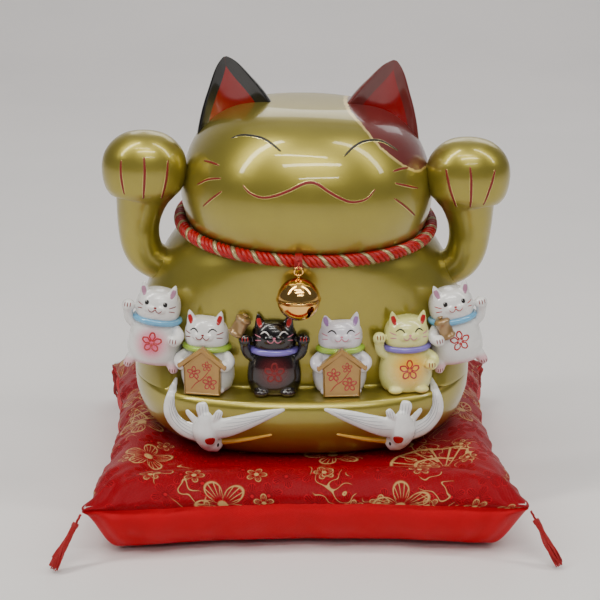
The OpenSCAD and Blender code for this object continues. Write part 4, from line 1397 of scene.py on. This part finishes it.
    def ear(self, name: str, side: int, finish: Finish) -> bpy.types.Object:
        """One scooped ear; side is 1 for the left and -1 for the mirrored right."""
        outer, inner, tip = np.array([-53.5, 171]), np.array([-14, 186]), np.array([-40.4, 213.6])
        count = 96
        rings, marks = [], []
        for t in np.concatenate([np.linspace(0, 0.9, 34), np.linspace(0.92, 0.985, 7)]):
            bulge, slim = 4 * t * (1 - t), (1 - t) ** 0.8
            o = outer + (tip - outer) * t + bulge * np.array([-2.2, 1.5])
            i = inner + (tip - inner) * t + bulge * np.array([2.0, 1.8])
            m, h = (o + i) / 2, (i - o) / 2 * (1 - t) ** (-0.17 * smoothstep(0.55, 1.0, t))
            for k in range(count):
                c, s = math.cos(TAU * k / count), math.sin(TAU * k / count)
                f = abs(s)
                y = 10 * slim * f if s > 0 else slim * (10 * f * f - 9 * f ** 0.4)
                rings.append((m[0] + h[0] * c, 0.5 + y, m[1] + h[1] * c))
                width = np.linalg.norm(h)
                marks.append((0.68 * (1 - min(t / 0.84, 1) ** 2.4) - abs(c + 0.05)) * width if s < 0 else -3.0)
        obj = new_object(name, rings, loft_faces(41, count))
        obj.data.attributes.new("patch", "FLOAT", "POINT").data.foreach_set("value", marks)
        fix_normals(obj)
        if side < 0:
            transform(obj, Matrix.Scale(-1, 4, (1, 0, 0)))
        return paint(obj, finish.material)

    def arm_mesh(self, name: str) -> bpy.types.Object:
        """The left arm and paw before they lean."""
        path = spline(self.arm, 7)
        d = np.gradient(path[:, [0, 2]], axis=0)
        d /= np.linalg.norm(d, axis=1)[:, None]
        paw = spline(self.paw, 9)
        rows = np.vstack([path, paw])
        d = np.vstack([d, np.tile((0.0, 1.0), (len(paw), 1))])
        a = np.linspace(0, TAU, 72, endpoint=False)
        rings = [np.stack([r[0] + u[1] * r[3] * np.cos(a), r[1] + r[4] * np.sin(a),
                           r[2] - u[0] * r[3] * np.cos(a)], 1) for r, u in zip(rows, d)]
        obj = new_object(name, np.vstack(rings), loft_faces(len(rings), 72))
        fix_normals(obj)
        soften(obj, 0.5, 5)
        return paint(obj, Finish.GOLD.material)

    def build_arms(self) -> None:
        """Both arms with the strokes between their toes."""
        toes_left = [[(-87.2, 168.9), (-87.3, 163.5), (-86.7, 158), (-85.7, 152.7)],
                     [(-76.5, 171), (-76.1, 164.5), (-76.3, 157.5), (-76.8, 151)],
                     [(-65.5, 169.2), (-65.9, 162.8), (-66.9, 156.6), (-68.5, 150.6)]]
        toes_right = [[(63.9, 167.7), (65, 162.8), (66.8, 156.7), (69.8, 149.4)],
                      [(74.8, 169.6), (75.6, 163), (75.9, 156.5), (76.1, 149.8)],
                      [(86.8, 167.9), (85.6, 162.4), (84.1, 157.3), (82.2, 151)]]
        for side, toes in (("left", toes_left), ("right", toes_right)):
            arm = self.arm_mesh(f"arm_{side}")
            if side == "right":
                transform(arm, Matrix.Translation((-self.right_arm_in, 0, 0)) @ Matrix.Scale(-1, 4, (1, 0, 0)))
            # The toe strokes get a painted highlight edge round them too.
            lines = laid_lines(f"toe_lines_{side}", surface_of(arm), [(t, 1.3) for t in toes],
                               (Finish.LINE_RED, Finish.LINE_EDGE))
            ready(transform(arm, lean_matrix()), "cat", "gold_glaze", f"{side}_arm")
            ready(transform(lines, lean_matrix()), "cat", "black_glaze")

    def build(self) -> None:
        """Makes the whole casting."""
        body = self.body()
        self.build_head()
        self.build_arms()
        ready(body, "cat", "gold_glaze", "body_casting")


# ------------------------------------------------------------------ collar and bell

@dataclass
class Collar:
    """Twisted rope round the neck, its knot behind and the thread that the bell hangs from."""
    half_w: float = 60.6
    front: float = 54.8
    back: float = 54.0
    rope_d: float = 6.0
    strands_out: float = 1.96
    strand_r: float = 1.16
    turns: float = 35.0
    bell_x: float = -2.7
    bell_y: float = -62.0
    tie_z: float = 127.78

    def build(self, rope: bpy.types.NodeTree, threads: bpy.types.NodeTree) -> None:
        """Makes the rope, the knot and the tie."""
        values = {"Offset": self.strands_out * MM, "Radius": self.strand_r * MM, "Turns": self.turns,
                  "Step": 0.0008, "Red": Finish.RED_CORD.material, "Gold": Finish.GOLD_CORD.material}
        path = even_ring(oval((NECK_Z, self.half_w, self.front, self.back, 2.1, NECK_SLOPE), 240))
        collar = transform(grown("rope_collar", [(path, True)], rope, values), lean_matrix())
        ready(collar, "cat", "rope", "collar_rope")
        ready(self.knot(rope, values), "cat", "rope", "rope_knot")
        ready(self.tie(threads), "cat", "thread_red", "bell_tie")

    def knot(self, rope: bpy.types.NodeTree, values: dict[str, object]) -> bpy.types.Object:
        """An overhand knot with two hanging ends, behind the neck."""
        y, z = self.back + self.rope_d / 2 + 0.3 + 3.4, NECK_Z + NECK_SLOPE * self.back
        loop = [(-5.0, y, z + 1.5), (-1.5, y - 1.6, z + 3.4), (3.6, y - 0.8, z + 2.2), (4.4, y + 1.4, z - 1.0),
                (0.6, y + 2.9, z - 3.2), (-3.8, y + 2.0, z - 1.6), (-3.4, y + 2.6, z + 2.0),
                (0.8, y + 3.4, z + 2.6), (4.0, y + 3.2, z - 0.8)]
        end_a = [(-2.4, y + 1.0, z - 1.5), (-5.2, y + 2.0, z - 8), (-7.2, y + 3.0, z - 16), (-8, y + 3.4, z - 23)]
        end_b = [(2.4, y + 1.0, z - 1.5), (5.4, y + 2.2, z - 8), (7.0, y + 3.2, z - 15), (8.2, y + 3.2, z - 23)]
        thin = dict(values, Offset=1.2 * MM, Radius=1.25 * MM, Turns=-4.0)
        parts = [grown(f"knot_{i}", [(spline(pts, 10), False)], rope, thin)
                 for i, pts in enumerate((loop, end_a, end_b))]
        return transform(join("rope_knot_tied", parts), lean_matrix())

    def tie(self, threads: bpy.types.NodeTree) -> bpy.types.Object:
        """Thread wound round the rope, with the eye that the ring hangs from."""
        z = NECK_Z - NECK_SLOPE * self.front
        round_rope = self.rope_d / 2 + 0.55
        lines: list[tuple[np.ndarray, bool]] = []
        for i in range(5):
            a = np.linspace(0, TAU, 40, endpoint=False)
            x = self.bell_x - 1.4 + 0.7 * i
            lines.append((np.stack([x + 0.25 * np.sin(a), -self.front + round_rope * np.cos(a),
                                    z + round_rope * np.sin(a)], 1), True))
        a = np.linspace(0, TAU, 28, endpoint=False)
        eye = np.stack([np.full(28, self.bell_x), self.bell_y + 1.5 * np.cos(a),
                        self.tie_z + 1.5 + 1.5 * np.sin(a)], 1)
        lines.append((eye, True))
        for k in range(3):
            b = np.linspace(0, TAU, 20, endpoint=False)
            lines.append((np.stack([self.bell_x + 0.9 * np.cos(b), -self.front - round_rope - 0.4 + 0.3 * np.sin(b + k),
                                    self.tie_z + 2.1 + 0.5 * k + 0.5 * np.sin(b)], 1), True))
        return grown("thread_tie", lines, threads, {"Radius": 0.44 * MM, "Finish": Finish.THREAD.material})


@dataclass
class Bell:
    """Jingle bell on its split ring, with a loose pellet inside."""
    centre: Point = (-2.7, -62.0, 113.8)
    radius: float = 10.0
    wall: float = 0.6
    slot_turn: float = 35.0
    slot_w: float = 2.0
    hole_r: float = 2.0
    wire: float = 0.45
    loop: tuple[float, float] = (124.55, 1.35)      # height and radius
    ring: tuple[float, float] = (126.84, 1.9)

    def shell(self) -> bpy.types.Object:
        """Hollow shell with its rolled equator and keyhole slot."""
        r, t = self.radius, self.wall
        out = [(r * math.sin(a), -r * math.cos(a)) for a in np.linspace(0, math.pi / 2 - 0.07, 26)]
        rim = [(r + 0.05, -0.62), (r + 0.28, -0.55), (r + 0.36, -0.38), (r + 0.24, -0.1), (r + 0.2, 0),
               (r + 0.24, 0.1), (r + 0.36, 0.38), (r + 0.28, 0.55), (r + 0.05, 0.62)]
        top = [(x, -z) for x, z in reversed(out)]
        outer = lathe("bell_shell", out + rim + top, 96)
        inner = lathe("bell_inside", [((r - t) * math.sin(a), -(r - t) * math.cos(a))
                                      for a in np.linspace(0, math.pi, 48)], 96)
        slot = join("bell_cut", self.slot_tools())
        for tool in (inner, slot):
            cut = outer.modifiers.new("cut", "BOOLEAN")
            cut.operation, cut.solver, cut.object = "DIFFERENCE", "EXACT", tool
            cut.use_self = tool is slot     # its box and rod overlap
        apply_modifiers(outer)
        for tool in (inner, slot):
            bpy.data.objects.remove(tool)
        shade_smooth(outer.data)
        outer.data.set_sharp_from_angle(angle=math.radians(40))
        transform(outer, Matrix.Translation(self.centre))
        return paint(outer, Finish.BELL.material)

    def slot_tools(self) -> list[bpy.types.Object]:
        """Solids that cut the slot and the round holes at its ends."""
        turn = Matrix.Rotation(math.radians(-90 + self.slot_turn), 4, "Z")
        far, low, w = 1.2 * self.radius, -3.2, self.slot_w / 2
        corners = [(x, y, z) for z in (-far, low) for x, y in ((-far, -w), (far, -w), (far, w), (-far, w))]
        box = new_object("slot_box", corners, loft_faces(2, 4))
        ring = [(0, self.hole_r * math.cos(a), low + self.hole_r * math.sin(a))
                for a in np.linspace(0, TAU, 32, endpoint=False)]
        rod = new_object("slot_rod", [(x + s, y, z) for s in (-far, far) for x, y, z in ring], loft_faces(2, 32))
        for obj in (box, rod):
            fix_normals(obj)
            transform(obj, turn)
        return [box, rod]

    def wire_loop(self, name: str, height: float, radius: float, plane: str) -> bpy.types.Object:
        """A ring of wire in the XZ or YZ plane over the bell."""
        x, y, _ = self.centre
        rings = []
        for a in np.linspace(0, TAU, 48, endpoint=False):
            for b in np.linspace(0, TAU, 16, endpoint=False):
                r = radius + self.wire * math.cos(b)
                flat, off = r * math.cos(a), self.wire * math.sin(b)
                rings.append((x + flat, y + off, height + r * math.sin(a)) if plane == "XZ"
                             else (x + off, y + flat, height + r * math.sin(a)))
        obj = new_object(name, rings, loft_faces(48, 16, loop=True))
        fix_normals(obj)
        return paint(obj, Finish.BELL.material)

    def build(self) -> None:
        """Makes the bell, its loop, the ring and the pellet."""
        ready(self.shell(), "bell", "bell_gold", "bell_upper_shell", "bell_lower_shell")
        ready(self.wire_loop("bell_eye", *self.loop, "YZ"), "bell", "bell_gold", "bell_loop")
        ready(self.wire_loop("jump_ring", *self.ring, "XZ"), "bell_ring", "bell_gold", "split_ring")
        x, y, z = self.centre
        pellet = ellipsoid("pellet_ball", (x, y, z - (self.radius - self.wall - 2.2 - 0.15)), (2.2, 2.2, 2.2))
        ready(paint(pellet, Finish.STEEL.material), "pellet", "steel", "bell_pellet")


# ------------------------------------------------------------------ small cats

class Eyes(Enum):
    """How a small cat's eyes are painted."""
    SMILE = "smile"
    ROUND = "round"


def place_matrix(place: Sequence[float]) -> Matrix:
    """The matrix of a place: x, y and z in millimetres, then yaw and roll in degrees."""
    x, y, z, yaw, roll = place
    return Matrix.Translation((x, y, z)) @ Matrix.Rotation(math.radians(yaw), 4, "Z") \
        @ Matrix.Rotation(math.radians(roll), 4, "Y")


@dataclass
class SmallCat:
    """One small relief cat at its place. left and right say which paws it raises."""
    node: str
    place: Sequence[float]
    left: bool
    right: bool
    finish: Finish
    slot: str
    ear: Finish
    mouth: Finish
    collar: Finish
    eye: Finish = Finish.LINE_BLACK
    eyes: Eyes = Eyes.SMILE
    stroke: Finish = Finish.LINE_RED
    feet: bool = False
    motif: Finish | None = None
    blush_at: Point | None = None
    blush_r: float = 7.0

    rows = ((0, 9.6, 7.2, 7.2, 2.2, 0), (1.5, 11.3, 8.6, 8.6, 2.2, 0), (7, 12.8, 9.6, 9.4, 2.2, 0),
            (14, 12.2, 9.2, 8.8, 2.2, 0), (19, 10.3, 7.8, 7.6, 2.2, 0), (21.5, 9.2, 7.2, 7.2, 2.2, 0),
            (24, 10.4, 8.8, 8, 2.2, 0), (28.5, 10.6, 9.2, 8.2, 2.2, 0), (32.5, 9.4, 8, 7.4, 2.2, 0),
            (35.3, 6.2, 5.6, 5.4, 2.2, 0), (36, 2.5, 2.2, 2.2, 2.2, 0))

    def body(self) -> bpy.types.Object:
        """The clay figure before it is set in its place."""
        rings = [oval(r, 56) for r in spline(self.rows, 5)]
        parts = [new_object("torso", np.vstack(rings), loft_faces(len(rings), 56))]
        for s in (-1, 1):
            ear = [(s * 5.9, -3, 31.5), (s * 6.7, -3, 35.2), (s * 7.4, -3, 38.2), (s * 7.6, -3, 39.0)]
            parts.append(tube("ear", ear, [3.5, 2.35, 1.15, 0.7], 20, 0.62))
            raised = self.left if s < 0 else self.right
            if raised:
                path = [(s * 9.5, -2, 17.5), (s * 12.2, -2.6, 19.4), (s * 13.4, -3.2, 22.4), (s * 13.6, -4, 26.5)]
                radii = np.interp(np.linspace(0, 1, 13), [0, 0.7, 1], [2.4, 2.3, 2.6])
                parts.append(tube("arm", spline(path, 4), radii, 20))
                parts.append(ellipsoid("paw", (s * 13.6, -4, 26.8), (3.15, 3.0, 3.1)))
            else:
                path = [(s * 9.5, -3, 18), (s * 12, -6, 16.4), (s * 11.6, -8, 14.8), (s * 10.2, -9, 14.3)]
                parts.append(tube("arm", spline(path, 4), 2.6, 20))
                parts.append(ellipsoid("paw", (s * 10.2, -9.2, 14.4), (3.0, 2.8, 2.9)))
            if self.feet:
                path = [(s * 8.3, -3, 3.4), (s * 9.8, -4, 0.8), (s * 11, -5, -1.4)]
                parts.append(tube("foot", path, [3.1, 2.7, 2.3], 20))
            else:
                parts.append(ellipsoid("foot", (s * 6.2, -7.4, 1.9), (3.6, 3.2, 2.0)))
        muzzle = [ellipsoid("cheek", (s * 2.1, -8.3, 28.1), (2.9, 1.5, 2.1)) for s in (-1, 1)]
        return clay(f"{self.node}_figure", parts + muzzle)

    def collar_ring(self) -> bpy.types.Object:
        """The painted collar, a flat band with rounded edges."""
        verts = []
        for a in np.linspace(0, TAU, 56, endpoint=False):
            for b in np.linspace(0, TAU, 12, endpoint=False):
                r, up = 7.75 + 1.25 * math.cos(b), 1.5 * math.sin(b)
                verts.append((1.33 * r * math.cos(a), 1.05 * r * math.sin(a), 21.4 + up))
        obj = new_object("collar", verts, loft_faces(56, 12, loop=True))
        fix_normals(obj)
        return paint(obj, self.collar.material)

    def strokes(self) -> list[tuple[Finish, list, float]]:
        """Painted strokes: finish, points and width."""
        out: list[tuple[Finish, list, float]] = []
        for s in (-1, 1):
            if self.eyes is Eyes.SMILE:
                out.append((self.eye, [(s * 2.4, 30.3), (s * 3.4, 31.5), (s * 4.8, 31.8), (s * 6.4, 30.6)], 0.75))
            else:
                out.append((self.eye, [(s * 4.3, 29.9), (s * 4.35, 30.9), (s * 4.3, 31.9)], 2.2))
            out.append((self.mouth, [(s * 6.2, 29.2), (s * 7.6, 29.5), (s * 9.0, 29.9)], 0.5))
            out.append((self.mouth, [(s * 6.2, 27.7), (s * 7.5, 27.5), (s * 8.8, 27.1)], 0.5))
            out.append((self.ear, [(s * 6.2, 33.4), (s * 6.75, 34.8), (s * 7.15, 36.2), (s * 7.4, 37.4)], 2.3))
            raised = self.left if s < 0 else self.right
            x, z = (s * 13.6, 27.6) if raised else (s * 10.2, 14.6)
            for k in (-1, 0, 1):
                claw = [(x + 1.25 * k, z + 1.2), (x + 1.3 * k, z + 0.2), (x + 1.25 * k, z - 0.9)]
                out.append((self.stroke, claw, 0.5))
            if self.feet:
                for k in (-1, 0, 1):
                    out.append((self.stroke, [(s * 10.6 + 1.1 * k, -0.4), (s * 10.9 + 1.15 * k, -2.2)], 0.45))
        out.append((self.mouth, [(-3.3, 28.3), (-2.3, 27.2), (-1.1, 27.1), (0, 28.2), (1.1, 27.1), (2.3, 27.2),
                                 (3.3, 28.3)], 0.6))
        out.append((self.mouth, [(-0.6, 29.3), (0, 29.0), (0.6, 29.3)], 1.0))
        if self.motif:
            out += [(self.motif, pts, width) for pts, width in blossom_strokes(0, 12.0, 4.3)]
        return out

    def build(self) -> None:
        """Makes the figure with its paint and sets it in its place."""
        figure = self.body()
        skin = surface_of(figure)
        co = np.array([v.co for v in figure.data.vertices]) / MM
        spray = 0.45 * (1 - smoothstep(0.0, 3.5, co[:, 2]))
        if self.blush_at is not None:
            far = np.hypot(co[:, 0] - self.blush_at[0], co[:, 2] - self.blush_at[1])
            spot = (1 - smoothstep(0.2 * self.blush_r, 1.5 * self.blush_r, far)) * (co[:, 1] < 0)
            spray = np.maximum(spot, spray)
        figure.data.attributes.new("blush", "FLOAT", "POINT").data.foreach_set("value", spray)
        paint(figure, self.finish.material)
        painted = [self.collar_ring()]
        for i, (finish, points, width) in enumerate(self.strokes()):
            painted.append(paint(brush_line(f"stroke_{i}", skin, points, width, 0.10, steps=5), finish.material))
        if self.eyes is Eyes.ROUND:
            for x in (-4.3, 4.3):
                glint = brush_line("glint", skin, [(x - 0.45, 31.2), (x - 0.4, 31.6)], 0.5, 0.2, steps=4)
                painted.append(paint(glint, Finish.SNOW.material))
        paint_piece = join(f"{self.node}_paint", painted)
        ready(transform(figure, place_matrix(self.place)), "cat", self.slot, self.node)
        ready(transform(paint_piece, place_matrix(self.place)), "cat", self.slot)


def blossom_strokes(x: float, z: float, size: float) -> list[tuple[list, float]]:
    """Brush strokes of a five-petal blossom with a stamen by each petal, round (x, z)."""
    out = []
    for k in range(5):
        a = math.radians(90 + 72 * k)
        petal = [(x + size * (t * math.cos(a) - wide * math.sin(a)), z + size * (t * math.sin(a) + wide * math.cos(a)))
                 for t, wide in ((0.22, 0.0), (0.6, 0.30), (1.0, 0.16), (1.05, 0.0), (1.0, -0.16),
                                 (0.6, -0.30), (0.22, 0.0))]
        stamen = [(x + size * t * math.cos(a + 0.62), z + size * t * math.sin(a + 0.62)) for t in (0.1, 0.28, 0.42)]
        out += [(petal, 0.2 * size), (stamen, 0.14 * size)]
    return out


@dataclass
class Charms:
    """Plaques and lucky mallets that the small cats hold."""
    boards: Sequence[tuple[str, Sequence[float]]]
    board_t: float = 3.0

    def slab(self, name: str, outline: Sequence[Point], thick: float) -> bpy.types.Object:
        """A flat board with softened edges, extruded towards the front."""
        n = len(outline)
        verts = [(x, -d, z) for d in (0.0, thick) for x, z in outline]
        obj = new_object(name, verts, loft_faces(2, n), smooth=False)
        fix_normals(obj)
        soft = obj.modifiers.new("edges", "BEVEL")
        soft.width, soft.segments, soft.limit_method = 0.45 * MM, 3, "ANGLE"
        soft.harden_normals = True
        apply_modifiers(obj)
        return paint(obj, Finish.PLAQUE.material)

    def plaque(self, node: str, place: Sequence[float]) -> None:
        """One house-shaped plaque with a painted sprig."""
        board = self.slab("board", [(-8.6, 0), (8.6, 0), (8.9, 14), (0, 21.5), (-8.9, 14)], self.board_t)
        roof = self.slab("roof", [(0, 23.4), (-12, 14.4), (-11, 12.6), (0, 20.8), (11, 12.6), (12, 14.4)],
                         self.board_t + 0.7)
        frame = [self.slab("edge", pts, self.board_t + 0.35) for pts in (
            [(-8.6, 0), (8.6, 0), (8.6, 0.9), (-8.6, 0.9)], [(-8.6, 0), (-7.7, 0), (-8.0, 13.6), (-8.9, 13.6)],
            [(7.7, 0), (8.6, 0), (8.9, 13.6), (8.0, 13.6)])]
        whole = join(f"{node}_board", [board, roof, *frame])
        skin = surface_of(whole)
        sprig = [([(-5.4, 2.6), (-3.0, 5.6), (0.4, 8.2), (4.2, 13.2)], 0.5), ([(-1.6, 6.8), (-4.4, 9.4)], 0.45),
                 ([(1.4, 9.2), (4.6, 8.4)], 0.45)]
        marks = blossom_strokes(-3.9, 10.8, 2.9) + blossom_strokes(3.6, 6.0, 3.1) + blossom_strokes(2.4, 14.2, 2.2)
        painted = laid_lines(f"{node}_sprig", skin, sprig + marks, (Finish.RED,), 0.14)
        held = place_matrix(place) @ Matrix.Translation((0, -8.8, 0.6))
        ready(transform(whole, held), "cat", "plaque_glaze", node)
        ready(transform(painted, held), "cat", "brown_glaze")

    def mallet(self, node: str, at: Point, tilt: float) -> None:
        """A waisted barrel with two hoops, painted ends and a small handle knob."""
        outline = [(0, -5), (2.6, -5), (3.2, -4.9), (3.45, -4.5), (3.9, -4.1), (3.9, -3.3), (3.55, -3.0),
                   (3.35, -1.5), (3.3, 0), (3.35, 1.5), (3.55, 3.0), (3.9, 3.3), (3.9, 4.1), (3.45, 4.5), (3.2, 4.9), (2.6, 5),
                   (0.9, 5), (0.75, 5.3), (1.35, 5.7), (1.5, 6.1), (1.1, 6.45), (0, 6.5)]
        barrel = paint(lathe("barrel", outline, 48), Finish.MALLET.material)
        knot = paint(lathe("end", [(0, -5.25), (2.1, -5.25), (2.2, -5.0), (0, -4.9)], 32), Finish.LINE_RED.material)
        piece = join(f"{node}_charm", [barrel, knot])
        transform(piece, Matrix.Translation(at) @ Matrix.Rotation(math.radians(tilt), 4, "Y"))
        ready(piece, "cat", "plaque_glaze", node)

    def build(self) -> None:
        """Makes both plaques and both mallets."""
        for node, place in self.boards:
            self.plaque(node, place)
        self.mallet("mallet_left", (-29.8, -49.2, 96.6), 28)
        self.mallet("mallet_right", (66.3, -44.5, 93.4), -22)


@dataclass
class Cranes:
    """Two white cranes that glide down over the lower bulge, in relief."""
    skin_y: Callable[[float, float], float]
    limbs: Sequence[Sequence[Row]] = (
        ((-45.8, 55, 3.2), (-46.2, 48, 6.4), (-44.6, 42.5, 5.8), (-42.4, 40.8, 5.4)),
        ((-46, 53, 3), (-47.6, 59.6, 3.2)), ((-49, 50, 2.4), (-54.5, 56, 1.5)),
        ((-42.5, 52, 2.4), (-39.6, 57.6, 2)),
        ((-44, 48, 5), (-36, 50.6, 4.9), (-25, 55.2, 3.7), (-17, 58.2, 2.5), (-9.6, 60.6, 0.9)),
        ((-48, 45.5, 5), (-56, 47, 4.8), (-61.6, 52.5, 4.2), (-62.6, 60, 3.0), (-60.4, 68, 1.0)))
    bill: Sequence[Row] = ((-38, 41.5, 1.6), (-28, 44, 1.1), (-15.6, 47.3, 0.7))

    def limb(self, name: str, points: Sequence[Row], flat: float) -> bpy.types.Object:
        """A rounded limb that follows the skin of the bulge."""
        fine = spline(points, 8)
        path = [(x, self.skin_y(x, z) - 0.12 * r, z) for x, z, r in fine]
        return tube(name, path, fine[:, 2], 26, flat)

    def build_one(self, side: int, name: str) -> None:
        """One crane with its crown, eye, bill and feather strokes."""
        figure = clay(f"{name}_figure", [self.limb("limb", p, 0.95 if i == 0 else 0.52)
                                         for i, p in enumerate(self.limbs)])
        paint(figure, Finish.CRANE.material)
        beak = paint(self.limb("bill", self.bill, 1.0), Finish.BILL.material)
        skin = surface_of(figure)
        grey = Finish.GREY
        marks: list[tuple[Finish, list, float]] = [
            (Finish.RED, [(-46.2, 43.2), (-44.2, 43.8), (-42.0, 43.2)], 4.4),
            (Finish.LINE_BLACK, [(-40.9, 40.7), (-40.0, 40.6)], 2.0)]
        for k in range(4):
            marks.append((grey, [(-41 + 2.2 * k, 49.0 + 2.2 * k), (-33 + 1.6 * k, 51.0 + 1.9 * k),
                                 (-24 + 1.8 * k, 54.8 + 1.2 * k), (-17 + 1.2 * k, 57.8 + 0.6 * k)], 0.34))
            marks.append((grey, [(-51 - 1.0 * k, 44.4 + 1.7 * k), (-57 - 0.8 * k, 46.2 + 2.1 * k),
                                 (-62.0 + 0.3 * k, 51.0 + 2.6 * k), (-63.6 + 0.8 * k, 58.0 + 2.4 * k)], 0.34))
        for k in (-1, 0, 1):
            marks.append((grey, [(-47 + 1.3 * k, 56), (-47.6 + 1.5 * k, 61)], 0.3))
            marks.append((grey, [(-40.8 + 1.0 * k, 54.5), (-39.7 + 1.2 * k, 58.4)], 0.3))
        painted = [beak] + [paint(brush_line(f"mark_{i}", skin, p, w, 0.1, steps=5), f.material)
                            for i, (f, p, w) in enumerate(marks)]
        piece = join(f"{name}_paint", painted)
        for obj in (figure, piece):
            if side < 0:
                transform(obj, Matrix.Scale(-1, 4, (1, 0, 0)))
        ready(figure, "cat", "white_glaze", name)
        ready(piece, "cat", "plaque_glaze")

    def build(self) -> None:
        """Makes both cranes."""
        self.build_one(1, "crane_left")
        self.build_one(-1, "crane_right")


PLACES: dict[str, Sequence[float]] = {
    "far_left": (-71.3, -37, 76, -8, 7), "white": (-45.2, -41.5, 63.5, -12, 0), "black": (-13.8, -46.5, 63.5, 0, 0),
    "lilac": (17, -45, 63.5, 3, 0), "yellow": (48.2, -43.5, 63.5, 8, 0), "far_right": (73.8, -36, 75.5, 10, -9)}


def small_cats() -> list[SmallCat]:
    """The six small cats from left to right."""
    return [
        SmallCat("mini_cat_far_left", PLACES["far_left"], True, False, Finish.WHITE, "white_glaze", Finish.MAUVE,
                 Finish.LINE_RED, Finish.BLUE, eyes=Eyes.ROUND, feet=True, motif=Finish.RED, blush_at=(0, 11)),
        SmallCat("mini_cat_white", PLACES["white"], False, False, Finish.WHITE, "white_glaze", Finish.RED,
                 Finish.LINE_RED, Finish.GREEN),
        SmallCat("mini_cat_black", PLACES["black"], True, True, Finish.BLACK, "black_glaze", Finish.RED,
                 Finish.PINK, Finish.INDIGO, eye=Finish.SNOW, stroke=Finish.RED, motif=Finish.LINE_RED, blush_at=(0, 12)),
        SmallCat("mini_cat_lilac", PLACES["lilac"], False, False, Finish.LILAC, "lilac_glaze", Finish.LILAC_PAINT,
                 Finish.PINK, Finish.GREEN),
        SmallCat("mini_cat_yellow", PLACES["yellow"], True, False, Finish.YELLOW, "yellow_glaze", Finish.RED,
                 Finish.PINK, Finish.INDIGO, motif=Finish.RED, blush_at=(0, 12), blush_r=9),
        SmallCat("mini_cat_far_right", PLACES["far_right"], False, True, Finish.WHITE, "white_glaze", Finish.MAUVE,
                 Finish.RED, Finish.BLUE, eyes=Eyes.ROUND, feet=True, motif=Finish.RED)]


def main() -> None:
    """Builds the figurine round the frame."""
    logging.basicConfig(level=logging.INFO, format="%(message)s")
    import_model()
    studio = Studio()
    studio.camera()
    studio.light()
    studio.floor()
    build_shader_groups()
    threads, rope = thread_tree(), rope_tree()
    casting = CatCasting()
    casting.build()
    Cushion().build(threads)
    Collar().build(rope, threads)
    Bell().build()
    for cat in small_cats():
        cat.build()
    Charms([("plaque_left", PLACES["white"]), ("plaque_right", PLACES["lilac"])]).build()
    Cranes(casting.skin_y).build()


if __name__ == "__main__":
    main()
